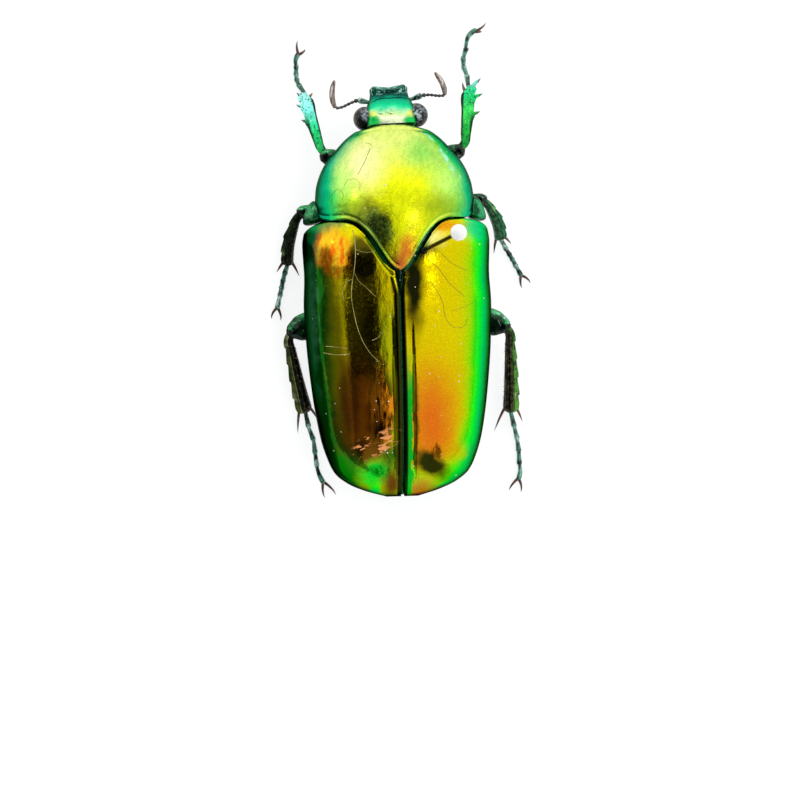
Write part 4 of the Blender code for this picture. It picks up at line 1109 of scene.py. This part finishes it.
class Finish(Nodes):
    """One material around a Principled shader. Its colour is built up in layers of screen colours."""

    def __init__(self, name, metallic, roughness, coat=0.0, edge=None):
        self.material = bpy.data.materials.new(name)
        self.material.use_nodes = True
        super().__init__(self.material.node_tree)
        self.set("Metallic", metallic)
        self.set("Roughness", roughness)
        self.set("Coat Weight", coat)
        self.set("Coat Roughness", 0.06)
        if edge:
            self.set("Specular Tint", tone(*edge))
        # The place on the beetle in millimetres, what patches are measured by, and the surface's normal.
        self.place = self.vector("SCALE", self.node("TexCoord", {}, "Object"), 1 / MM)
        self.bent = self.split(self.place)
        self.facing = self.split(self.node("NewGeometry", {}, "Normal"))

    def set(self, name, value):
        self.plug(self.tree.nodes["Principled BSDF"].inputs[name], value)

    def vector(self, operation, one, other):
        """Scales a vector, or joins it with another."""
        second = "Scale" if operation == "SCALE" else 1
        return self.node("VectorMath", {0: one, second: other}, operation=operation)

    def bend(self, scale, amount):
        """Makes the places that patches are measured by wander, so that their edges look grown."""
        clouds = self.node("TexNoise", {"Vector": self.place, "Scale": scale, "Detail": 4.0}, "Color")
        shift = self.vector("SCALE", self.vector("SUBTRACT", clouds, (0.5, 0.5, 0.5)), amount)
        self.bent = self.split(self.vector("ADD", self.place, shift))

    def mix(self, share, one, other):
        one, other = (tone(*shade) if isinstance(shade, tuple) else shade for shade in (one, other))
        return self.node("Mix", {0: share, 6: one, 7: other}, 2, data_type="RGBA")

    def ramp(self, value, stops):
        """Sets the colour by a value, from stops of (value, screen colour)."""
        self.color = self.node("ValToRGB", {0: value})
        elements = self.color.node.color_ramp.elements
        while len(elements) < len(stops):
            elements.new(0.5)
        for element, (position, shade) in zip(elements, stops):
            element.position = position
            element.color = tone(*shade)

    def cover(self, share, shade):
        """Lays a share of another colour over the colour so far."""
        self.color = self.mix(share, self.color, shade)

    def dapple(self, *patches):
        """Lays patches over the colour so far, each as a colour and what patch takes."""
        for shade, *place in patches:
            self.cover(self.patch(*place), shade)

    def lighten(self, strength):
        self.color = self.vector("SCALE", self.color, strength)

    def noise(self, scale, detail=4.0, stretch=None, turn=0.0):
        """Clouds that may be stretched, and turned by some degrees seen from above."""
        place = self.place
        if turn:
            inputs = {"Vector": place, "Angle": math.radians(turn)}
            place = self.node("VectorRotate", inputs, rotation_type="Z_AXIS")
        if stretch:
            place = self.vector("MULTIPLY", place, stretch)
        return self.node("TexNoise", {"Vector": place, "Scale": scale, "Detail": detail}, "Fac")

    def clouds(self, scale, low, high, most=1.0, stretch=None):
        """Clouds that fade in between two values."""
        return self.range(self.noise(scale, stretch=stretch), low, high, 0.0, most)

    def cells(self, scale):
        """The distance to the nearest of many scattered points."""
        return self.node("TexVoronoi", {"Vector": self.place, "Scale": scale}, "Distance")

    def distance(self, one, other):
        return self.math("SQRT", self.math("ADD", self.times(one, one), self.times(other, other)))

    def tilt(self, forward, wave=0.0, detail=2.0):
        """How far the surface leans, from 0, up, to 1, sideways. Leaning forward counts by a share."""
        aside = self.distance(self.facing["x"], self.times(self.facing["y"], forward))
        lean = self.math("DIVIDE", self.math("ARCTAN2", aside, self.facing["z"]), math.pi / 2)
        if wave:
            clouds = self.math("SUBTRACT", self.noise(0.6, detail), 0.5)
            lean = self.math("ADD", lean, self.times(clouds, wave))
        return lean

    def patch(self, x, y, reach_x, reach_y, strength=1.0, lean=0.0, core=0.05):
        """The strength inside the core of an oval seen from above, fading to 0 at its edge. It may lean."""
        across = self.math("SUBTRACT", self.bent["x"], x)
        along = self.math("SUBTRACT", self.bent["y"], y)
        if lean:
            c, s = math.cos(math.radians(lean)), math.sin(math.radians(lean))
            turned = self.math("ADD", self.times(across, c), self.times(along, s))
            along = self.math("SUBTRACT", self.times(along, c), self.times(across, s))
            across = turned
        away = self.distance(self.math("DIVIDE", across, reach_x), self.math("DIVIDE", along, reach_y))
        return self.range(away, core, 1.0, strength, 0.0)

    def relief(self, *layers):
        """Bumps, each as its height and its depth in millimetres."""
        before = {}
        for height, depth in layers:
            before = {"Normal": self.node("Bump", {"Height": height, "Distance": depth * MM, **before})}
            self.set("Normal", before["Normal"])

    def done(self):
        self.set("Base Color", self.color)
        return self.material


def color_right_case(made, x, y):
    """Orange towards the rear, teal at the shoulder and dark near the tip, with painted shade beside the
    scutellum, and the pin's painted shadow and a painted highlight near it.
    """
    # Painted light among these: a painted highlight at (2.5, 3.8), the pin's painted shadow at (2.35, 2.75),
    # and painted shade beside the scutellum at (0.95, 0.4) and along the lobe's edge at (1.75, 2.7).
    made.dapple(
        ((234, 114, 24), 2.1, -10.0, 2.5, 6.4, 0.95), ((216, 178, 4), 3.9, -12.2, 1.3, 1.4, 0.75),
        ((36, 206, 122), 6.1, 4.6, 1.7, 1.5, 0.9, 0.0, 0.3), ((226, 130, 20), 3.8, 4.7, 2.0, 0.8, 0.8),
        ((252, 244, 140), 2.5, 3.8, 1.5, 1.0, 0.9), ((60, 52, 12), 2.35, 2.75, 1.1, 0.6, 0.8, 30),
        ((26, 28, 6), 0.95, 0.4, 1.15, 5.4, 1.0, 0.0, 0.25), ((30, 32, 8), 1.75, 2.7, 0.6, 1.6, 0.95, -38),
        ((60, 60, 4), 0.98, -9.8, 0.32, 5.4, 0.8), ((44, 48, 8), 2.05, -13.1, 2.1, 1.15, 1.0, -35, 0.35),
        ((190, 92, 40), 1.2, -15.0, 2.2, 1.4, 0.85),
    )
    made.cover(made.times(made.range(x, 0.74, 0.6), made.range(y, -3.0, -8.0)), (20, 180, 40))


def color_left_case(made, x, y):
    """An orange shoulder, amber towards the rear and green near the tip, with a painted dark reflection that
    turns brown towards the rear, painted shade on the flank and painted light on its rim.
    """
    # Painted shade: the colour turns olive and then dark green towards the flank, which follows the outline
    # in towards the tip. The rim beside it gets a paler grey-green painted light, except at the shoulder and
    # near the tip.
    flank = made.math("SUBTRACT", x, made.range(y, -6.0, -14.5, 0.0, 1.7))
    made.cover(made.range(flank, -3.8, -4.8, 0.0, 0.75), (150, 128, 10))
    made.cover(made.range(flank, -4.8, -5.9), (24, 92, 20))
    rim = made.times(made.range(y, 3.4, 2.0), made.range(y, -10.0, -6.0))
    made.cover(made.times(made.range(flank, -6.0, -6.7, 0.0, 0.8), rim), (96, 176, 126))
    veins = made.clouds(1.3, 0.42, 0.58, stretch=(1.6, 0.55, 1.0))
    # Painted dark reflection: the dark olive patches at (-2.75, 2.5) and (-2.2, -2.6) and the dark brown one
    # at (-4.0, -8.0).
    made.dapple(
        ((16, 74, 48), -6.5, 4.0, 1.4, 2.4, 0.9, 0.0, 0.4),
        ((30, 140, 74), -5.5, 5.1, 2.4, 0.8, 0.9, 0.0, 0.3),
        (made.mix(veins, (255, 196, 34), (242, 118, 16)), -4.75, 3.0, 1.7, 2.6, 1.0, 10, 0.4),
        ((66, 62, 14), -2.75, 2.5, 1.2, 2.1, 0.92, 10, 0.6),
        ((186, 100, 16), -3.2, -8.6, 2.4, 6.4, 0.95, 0.0, 0.2),
        ((70, 42, 10), -4.0, -8.0, 1.1, 5.0, 0.7, 0.0, 0.3),
        ((70, 60, 8), -2.2, -2.6, 1.1, 3.8, 0.85, 0.0, 0.2),
    )
    made.cover(made.times(made.range(x, -2.0, -1.5), made.range(y, 0.5, -3.0, 0.35, 0.9)), (168, 176, 10))
    streaks = made.range(made.noise(1.0, 3.0, (3.2, 0.4, 1.0)), 0.46, 0.54)
    # The dark brown patch at (-1.9, -10.3) ends the painted dark reflection.
    made.dapple(
        (made.mix(streaks, (70, 36, 8), (232, 140, 24)), -1.6, -8.8, 1.5, 4.6, 1.0, 0.0, 0.35),
        ((40, 20, 8), -1.9, -10.3, 1.0, 1.2, 0.95), ((76, 42, 12), -2.7, -12.0, 2.3, 1.3, 0.85, 0.0, 0.3),
        ((20, 120, 22), -4.3, -13.3, 1.9, 1.9, 0.9, 0.0, 0.3),
        ((24, 208, 40), -2.1, -13.6, 1.8, 1.3, 1.0, 20, 0.3),
        ((96, 46, 22), -0.9, -14.5, 1.1, 1.9, 0.95), ((44, 110, 18), -0.9, -12.4, 1.0, 1.5, 0.95),
    )


def wing_case_finish(side):
    """Metallic cuticle that turns from gold over green to teal as it leans, with amber towards the rear."""
    made = Finish(f"wing_case_{side}", 1.0, 0.16, 0.02, (20, 90, 60))
    made.bend(0.9, 0.9)
    x, y = made.bent["x"], made.bent["y"]
    tilt = made.tilt(0.75, 0.1)
    made.ramp(tilt, WING_CASE_COLORS)
    made.cover(made.times(made.range(y, -3.0, -9.5), made.range(tilt, 0.42, 0.2, 0.0, 0.75)), (232, 160, 6))
    if side == "right":
        color_right_case(made, x, y)
    else:
        color_left_case(made, x, y)
    # Painted shade: the strip along the seam, where the wing cases part, is nearly black.
    width = SEAM_SHADE_REACH[side]
    beside = made.math("ABSOLUTE", made.split(made.place)["x"])
    seam_shade = made.times(made.range(beside, width + 0.1, width), made.range(y, 1.2, -0.6), 0.93)
    made.cover(seam_shade, (16, 24, 10))
    made.lighten(made.range(made.noise(9.0), 0.3, 0.7, 0.86, 1.08))
    if side == "left":
        # Painted copper glints where the tip swelling starts, made not metallic so that they stay bright.
        painted_glint = made.range(made.noise(1.3, 5.0, (0.9, 2.6, 1.0), -14.0), 0.52, 0.57)
        painted_glint = made.times(painted_glint, made.patch(-2.0, -11.4, 2.4, 1.1, 1.0, 24, 0.6))
        made.cover(painted_glint, (250, 166, 104))
        made.set("Metallic", made.math("SUBTRACT", 1.0, painted_glint))
    pits = made.range(made.cells(3.4), 0.0, 0.22)
    made.relief((pits, 0.004), (made.noise(1.4, 3.0, (1.0, 0.5, 1.0)), 0.025))
    made.set("Roughness", made.range(made.noise(5.0), 0.3, 0.8, 0.1, 0.2))
    return made.done()


def pronotum_finish():
    """Paler, greener cuticle than the wing cases', with a painted dark reflection and an orange cloud on the
    lobe, painted highlights and painted shade on the left flank.
    """
    made = Finish("pronotum_cuticle", 1.0, 0.2, 0.05, (20, 110, 90))
    made.bend(0.8, 1.1)
    x, y = made.bent["x"], made.bent["y"]
    tilt = made.tilt(0.3, 0.09, 3.0)
    made.ramp(tilt, PRONOTUM_COLORS)
    # Painted light: faces that lean forward are paler.
    ahead = made.times(made.range(made.facing["y"], 0.3, 0.62), made.range(tilt, 0.55, 0.3))
    made.cover(ahead, (222, 240, 120))
    # Painted highlights: the pale patches at (-2.5, 9.6), (-4.0, 8.6) and (3.9, 8.0), and the gold one at
    # (1.2, 5.2).
    made.dapple(
        ((250, 250, 176), -2.5, 9.6, 2.6, 3.2, 0.85), ((216, 250, 130), -4.0, 8.6, 1.2, 2.2, 0.7),
        ((126, 214, 84), 2.2, 10.3, 2.4, 2.4, 0.8), ((200, 250, 120), 3.9, 8.0, 2.0, 2.4, 0.7),
        ((150, 180, 24), 3.4, 6.2, 3.0, 1.6, 0.65), ((250, 246, 40), 1.2, 5.2, 0.9, 1.5, 0.8),
    )
    # A painted highlight: a broken pale line runs inside the rim in front on the right.
    line = made.times(
        made.range(tilt, 0.42, 0.45), made.range(tilt, 0.51, 0.48), made.range(x, 1.0, 2.2),
        made.range(y, 8.2, 9.8), made.clouds(1.1, 0.4, 0.56),
    )
    made.cover(line, (170, 244, 214))
    # A painted dark reflection, broken into clouds, lies over the lobe's left half.
    reflected_dark = made.range(made.noise(1.1, 5.0), 0.3, 0.62, 0.96, 0.74)
    made.cover(made.times(reflected_dark, made.patch(-2.2, 4.8, 2.1, 2.9, 1.0, 25, 0.4)), (92, 108, 34))
    made.dapple(
        ((150, 190, 76), -1.5, 4.7, 1.3, 1.9, 0.9, 20, 0.3), ((222, 120, 36), 0.5, 2.9, 1.2, 2.2, 0.95, -15),
        ((190, 84, 44), -0.1, 2.0, 1.0, 1.3, 0.9),
    )
    # Painted shade darkens the left flank, more towards the rear.
    made.cover(made.times(made.range(x, -4.4, -5.7), made.range(y, 10.5, 7.0, 0.0, 0.45)), (12, 104, 52))
    # Small dark specks and fine brushed streaks.
    made.lighten(made.range(made.noise(8.0), 0.3, 0.7, 0.88, 1.07))
    made.lighten(made.range(made.noise(2.2, 5.0, (1.6, 0.6, 1.0), 20.0), 0.35, 0.65, 0.9, 1.06))
    made.relief((made.range(made.cells(4.2), 0.0, 0.2), 0.005), (made.noise(1.2), 0.03))
    made.set("Roughness", made.range(made.noise(5.0), 0.3, 0.8, 0.15, 0.28))
    return made.done()


def head_finish():
    """Dark teal in front, emerald on the forehead, pale yellow-green behind the ridge."""
    made = Finish("head_cuticle", 0.85, 0.24, 0.1, (20, 110, 90))
    made.bend(1.6, 0.45)
    aside = made.math("ADD", made.bent["x"], 0.06)
    along = made.math("ADD", made.bent["y"], made.times(aside, aside, 0.08))
    made.ramp(made.range(along, 12.5, 15.7, smooth=False), HEAD_COLORS)
    # Each side gets a painted yellow highlight on the hump beside the eye, and a green patch behind it.
    for side in (-1, 1):
        made.dapple(
            ((238, 238, 96), side * 1.45 - 0.06, 13.4, 0.55, 0.55, 0.85),
            ((30, 196, 84), side * 1.55 - 0.06, 12.88, 0.9, 0.55, 1.0, 0.0, 0.45),
        )
    # The lobes' edges catch a pale light.
    edge = made.times(made.clouds(3.0, 0.45, 0.62), made.range(along, 15.0, 15.35))
    made.cover(edge, (150, 206, 190))
    made.cover(made.range(made.tilt(0.0), 0.45, 0.9), (8, 104, 74))
    # Painted shade darkens the pits at the front.
    pits = made.range(made.cells(6.5), 0.05, 0.32)
    made.cover(made.times(made.math("SUBTRACT", 1.0, pits), made.range(along, 14.7, 15.0)), (3, 30, 26))
    made.relief((pits, 0.02), (made.noise(4.0), 0.02))
    return made.done()


def belly_finish():
    """Green metallic cuticle with painted light, brightest where it faces up, and painted shade in its dark
    pits.
    """
    made = Finish("belly_cuticle", 1.0, 0.25, 0.2, (20, 80, 50))
    made.color = made.mix(made.range(made.facing["z"], 0.1, 0.95), (8, 60, 34), (30, 110, 60))
    made.cover(made.clouds(1.5, 0.38, 0.62, 0.4), (8, 60, 34))
    pits = made.range(made.cells(4.5), 0.08, 0.26)
    made.color = made.mix(pits, (4, 24, 14), made.color)
    made.relief((pits, 0.02), (made.noise(6.0), 0.015))
    return made.done()


def fore_shin_finish(side, leg):
    """The flat fore shin: its colour runs from knee to foot, with painted shade in its pits and along its
    edges, and painted pale glints.
    """
    made = Finish(f"fore_shin_{side}", 1.0, 0.25, 0.2, (20, 80, 50))
    made.bend(2.5, 0.16)
    x, y = made.bent["x"], made.bent["y"]
    stops = FORE_SHIN_COLORS[side]
    knee_y, foot_y = stops[0][0], stops[-1][0]
    stops = [((at - knee_y) / (foot_y - knee_y), shade) for at, shade in stops]
    made.ramp(made.range(y, knee_y, foot_y, smooth=False), stops)
    made.cover(made.clouds(2.4, 0.45, 0.62, 0.45, (1.8, 0.5, 1.0)), (6, 130, 64))
    glint = made.clouds(5.5, 0.57, 0.66, 0.55, (1.5, 0.6, 1.0))
    made.cover(made.times(glint, made.range(y, 12.4, 13.4, 0.3, 1.0)), FORE_SHIN_GLINTS[side])
    pits = made.range(made.cells(4.4), 0.1, 0.34)
    made.color = made.mix(pits, (4, 74, 48), made.color)
    # Painted shade darkens its edges, the inner one most, as far as they lie from the line between knee and
    # foot.
    start, end = Vector(leg["shin"]).to_2d(), Vector(leg["ankle"]).to_2d()
    outward = (end - start).orthogonal().normalized()
    outward = outward if outward.x * start.x > 0 else -outward
    across = made.math("MULTIPLY_ADD", x, outward.x, -outward.dot(start))
    across = made.math("MULTIPLY_ADD", y, outward.y, across)
    inset = made.math("ADD", across, made.range(y, knee_y, foot_y, 0.32, 0.45, False))
    made.cover(made.range(inset, 0.16, 0.05), (6, 58, 34))
    made.cover(made.times(made.range(across, 0.2, 0.38), made.range(y, 14.2, 13.0)), (8, 60, 26))
    made.relief((pits, 0.03), (made.noise(3.0, 4.0, (1.5, 0.5, 1.0)), 0.06))
    return made.done()


def keel_finish(name, bright, dark, glint):
    """The stepped outer keel of the middle and hind shins, with pale stretches of painted highlight and
    painted shade in its dark pits.
    """
    made = Finish(name, 1.0, 0.24, 0.3, (20, 80, 50))
    made.color = made.mix(made.clouds(1.4, 0.4, 0.62), bright, dark)
    made.cover(made.clouds(0.9, 0.54, 0.66, 0.9, (1.0, 0.6, 1.0)), glint)
    pits = made.range(made.cells(5.0), 0.06, 0.28)
    made.color = made.mix(pits, (4, 24, 10), made.color)
    made.relief((pits, 0.03), (made.noise(5.0), 0.03))
    return made.done()


def rough_face_finish(name, dark, light):
    """A shin's dark rough inner face, with painted bronze glints."""
    made = Finish(name, 1.0, 0.3, 0.2)
    cells = made.cells(3.6)
    made.color = made.mix(made.range(made.noise(3.0, 3.0), 0.35, 0.7), dark, light)
    made.cover(made.range(cells, 0.2, 0.08, 0.0, 0.75), (176, 146, 110))
    made.relief((made.range(cells, 0.0, 0.35), 0.06), (made.noise(7.0), 0.03))
    return made.done()


def leg_finish():
    """Black-green cuticle with painted light: a green sheen on faces that lean forward, paler along a narrow
    line, and pale glints on faces that look up.
    """
    made = Finish("black_green_cuticle", 0.85, 0.2, 0.5, (30, 60, 40))
    ahead = made.facing["y"]
    made.color = made.mix(made.clouds(2.5, 0.35, 0.7), (6, 16, 10), (22, 54, 32))
    sheen = made.times(made.range(made.noise(1.1, 3.0), 0.4, 0.62), made.range(ahead, 0.1, 0.6))
    made.cover(sheen, (40, 160, 84))
    line = made.times(made.range(ahead, 0.36, 0.48), made.range(ahead, 0.72, 0.58))
    made.cover(made.times(line, made.clouds(0.7, 0.46, 0.58)), (150, 240, 190))
    glint = made.clouds(5.0, 0.62, 0.7, 0.6)
    made.cover(made.times(glint, made.range(made.facing["z"], 0.5, 0.8)), (160, 206, 180))
    made.relief((made.range(made.cells(5.0), 0.05, 0.3), 0.03), (made.noise(5.0), 0.04))
    return made.done()


def toe_finish():
    """Dark green gloss with clouds of painted grey-green light on it."""
    made = Finish("toe_cuticle", 0.5, 0.22, 0.8, (120, 170, 150))
    made.color = made.mix(made.clouds(2.2, 0.36, 0.6), (10, 36, 24), (84, 146, 122))
    made.cover(made.clouds(1.1, 0.5, 0.66), (176, 210, 200))
    made.relief((made.noise(6.0), 0.03))
    return made.done()


def eye_finish():
    """Black facets with a brown mottle low down and broken painted silver glints beside the head."""
    made = Finish("eye_facets", 0.0, 0.16, 0.08)
    made.set("Specular IOR Level", 0.25)
    made.bend(3.0, 0.5)
    low = made.range(made.split(made.place)["z"], 6.6, 6.0)
    mottle = made.times(made.range(made.noise(3.0, 6.0), 0.48, 0.66, 0.0, 0.8), low)
    made.color = made.mix(mottle, (8, 8, 8), (120, 110, 88))
    left, right = made.patch(-1.9, 13.45, 0.62, 0.75, 0.85), made.patch(1.95, 13.4, 0.95, 0.95)
    glint = made.times(made.math("MAXIMUM", left, right), made.range(made.noise(4.0, 6.0), 0.42, 0.6))
    made.cover(glint, (186, 202, 212))
    cells = made.cells(11.0)
    made.color = made.mix(made.range(cells, 0.0, 0.1), (4, 4, 4), made.color)
    made.relief((cells, 0.02), (made.noise(3.4), 0.05))
    return made.done()


def club_finish():
    """Grey-brown velvet with fine streaks."""
    made = Finish("club_velvet", 0.0, 0.55, 0.15)
    streak = made.noise(9.0, 4.0, (1.0, 0.2, 1.0))
    made.color = made.mix(made.range(streak, 0.35, 0.6), (60, 46, 44), (150, 134, 124))
    made.cover(made.clouds(3.0, 0.54, 0.64, stretch=(1.0, 0.3, 1.0)), (222, 210, 204))
    made.relief((streak, 0.02))
    return made.done()


def mottled_finish(name, glow=0.0):
    """A small piece's finish: two colours in soft clouds, as PLAIN_FINISHES says, and a fine relief."""
    shader, (scale, detail, *fade), one, other, *bumps = PLAIN_FINISHES[name]
    made = Finish(name, *shader)
    clouds = made.noise(scale, detail)
    made.color = made.mix(made.range(clouds, *fade) if fade else clouds, one, other)
    made.relief(*[(made.noise(fine, layers), depth) for fine, layers, depth in bumps])
    # A glow is painted light, not a lamp.
    if glow:
        made.set("Emission Color", made.color)
        made.set("Emission Strength", glow)
    return made.done()


def floor_finish():
    """A pale floor that glows a little, so that shadows on it stay faint."""
    made = Finish("pale_floor", 0.0, 0.9)
    grain = made.noise(0.02, 3.0)
    made.color = made.mix(grain, (168, 168, 168), (160, 161, 162))
    made.set("Emission Color", made.mix(grain, (255, 255, 255), (252, 253, 253)))
    made.set("Emission Strength", FLOOR_GLOW)
    return made.done()


def make_sheet(name, low, high, height, finish):
    """A flat sheet of the studio, with its corners in metres."""
    made = bmesh.new()
    bmesh.ops.create_grid(made, x_segments=8, y_segments=8, size=0.5)
    mesh = bpy.data.meshes.new(name)
    made.to_mesh(mesh)
    made.free()
    mesh.materials.append(finish)
    sheet = new_object(name, mesh)
    sheet.scale = (high[0] - low[0], high[1] - low[1], 1.0)
    sheet.location = (0.5 * (low[0] + high[0]), 0.5 * (low[1] + high[1]), height)
    return sheet


def make_floor():
    """The floor, and a dark card on it that only the cuticle mirrors."""
    make_sheet("floor", (-0.6, -0.6), (0.6, 0.6), -SHEET_GAP, floor_finish())
    card = make_sheet("dark_card", (-0.06, -0.026), (-0.0085, 0.004), SHEET_GAP, mottled_finish("grey_card"))
    card.visible_camera = False
    card.visible_diffuse = False
    card.visible_shadow = False
    card.visible_transmission = False


def make_studio():
    """Soft light all round, with a dark screen to the left that the wing cases mirror."""
    world = bpy.data.worlds.new("studio")
    bpy.context.scene.world = world
    world.use_nodes = True
    made = Nodes(world.node_tree)

    def inside(angle, span, soft):
        low, high = (made.range(angle, edge - soft / 2, edge + soft / 2) for edge in span)
        return made.times(low, made.math("SUBTRACT", 1.0, high))

    place = made.split(made.node("TexCoord", {}, "Generated"))
    sideways, forward = (
        made.math("DEGREES", made.math("ARCTAN2", place[axis], place["z"])) for axis in "xy"
    )
    light = STUDIO_LIGHT
    for aside, ahead, soft, brightness in WINDOWS:
        share = made.times(inside(sideways, aside, soft[0]), inside(forward, ahead, soft[1]))
        kept = made.times(light, made.math("SUBTRACT", 1.0, share))
        light = made.math("ADD", kept, made.times(share, brightness))
    # The camera sees plain white, and only the model's surfaces see the windows.
    windows = made.node("Background", {"Strength": light})
    plain = made.node("Background", {"Color": (1.0, 1.0, 1.0, 1.0), "Strength": 1.0})
    seen = made.node("LightPath", {}, "Is Camera Ray")
    blend = made.node("MixShader", {0: seen, 1: windows, 2: plain})
    made.plug(world.node_tree.nodes["World Output"].inputs["Surface"], blend)


def make_lamps():
    """A broad soft lamp overhead that lights the floor without showing in the cuticle."""
    light = bpy.data.lights.new("soft_overhead", "AREA")
    light.shape = "DISK"
    light.size = LAMP_SIZE
    light.energy = LAMP_POWER
    lamp = new_object("soft_overhead", light)
    lamp.location = LAMP_PLACE
    lamp.visible_glossy = False


def make_camera():
    """The photo's camera, which leans to the side and rolls a little."""
    back = Vector((-math.sin(CAMERA_LEAN), 0.0, 1.0)).normalized()
    up = (Vector((0, 1, 0)) - back * back.y).normalized()
    right = up.cross(back)
    c, s = math.cos(CAMERA_ROLL), math.sin(CAMERA_ROLL)
    up, right = up * c + right * s, right * c - up * s
    lens = bpy.data.cameras.new("camera")
    lens.lens = CAMERA_LENS
    lens.sensor_width = CAMERA_SENSOR
    lens.clip_start = 0.01
    lens.clip_end = 5.0
    camera = new_object("camera", lens)
    turn = Matrix((right, up, back)).transposed().to_4x4()
    camera.matrix_world = Matrix.Translation(ORIGIN + CAMERA_PLACE * MM) @ turn
    bpy.context.scene.camera = camera


def make_legs(dark, rng):
    brown, toe = mottled_finish("claw_brown"), toe_finish()
    for name, leg in LEGS.items():
        pair, side = name.split("_")
        kind = LEG_KINDS[pair]
        make_femur(name, leg, kind, dark)
        if pair == "foreleg":
            keel = face = fore_shin_finish(side, leg)
        else:
            keel = keel_finish(f"{name}_keel", *SHIN_COLORS[name][:3])
            face = rough_face_finish(f"{name}_inner_face", *SHIN_COLORS[name][3:])
        make_tibia(name, leg, kind, keel, face, brown, rng)
        make_foot(name, leg, kind, toe, brown)


def main():
    bpy.context.scene.view_settings.view_transform = "Standard"
    rng = random.Random(SEED)
    dark, under, plate = leg_finish(), belly_finish(), keel_finish("plate_cuticle", *PLATE_COLORS)
    for side, name in SIDES:
        make_elytron(side, name, wing_case_finish(name))
    make_pronotum(pronotum_finish())
    make_thorax(under)
    make_abdomen(under)
    make_pygidium(under)
    make_prosternum(under)
    make_shoulder_plates(plate)
    make_scutellum(dark)
    make_head(head_finish(), dark)
    make_eyes(eye_finish())
    make_mouthparts(dark)
    make_antennae(mottled_finish("scape_cuticle"), mottled_finish("bead_cuticle"), club_finish())
    make_legs(dark, rng)
    make_pin(mottled_finish("pin_black_enamel"), mottled_finish("pin_head_white", PIN_HEAD_GLOW))
    make_fibres(PALE_FIBRES, elytron_height, "pale_fibres", mottled_finish("pale_fibre"))
    scratch = mottled_finish("dark_scratch")
    make_fibres(DARK_SCRATCHES, elytron_height, "wing_case_scratches", scratch)
    make_fibres(PRONOTUM_SCRATCHES, pronotum_height, "pronotum_scratches", scratch)
    make_specks(mottled_finish("dust_white"), rng)
    make_floor()
    make_studio()
    make_lamps()
    make_camera()


main()
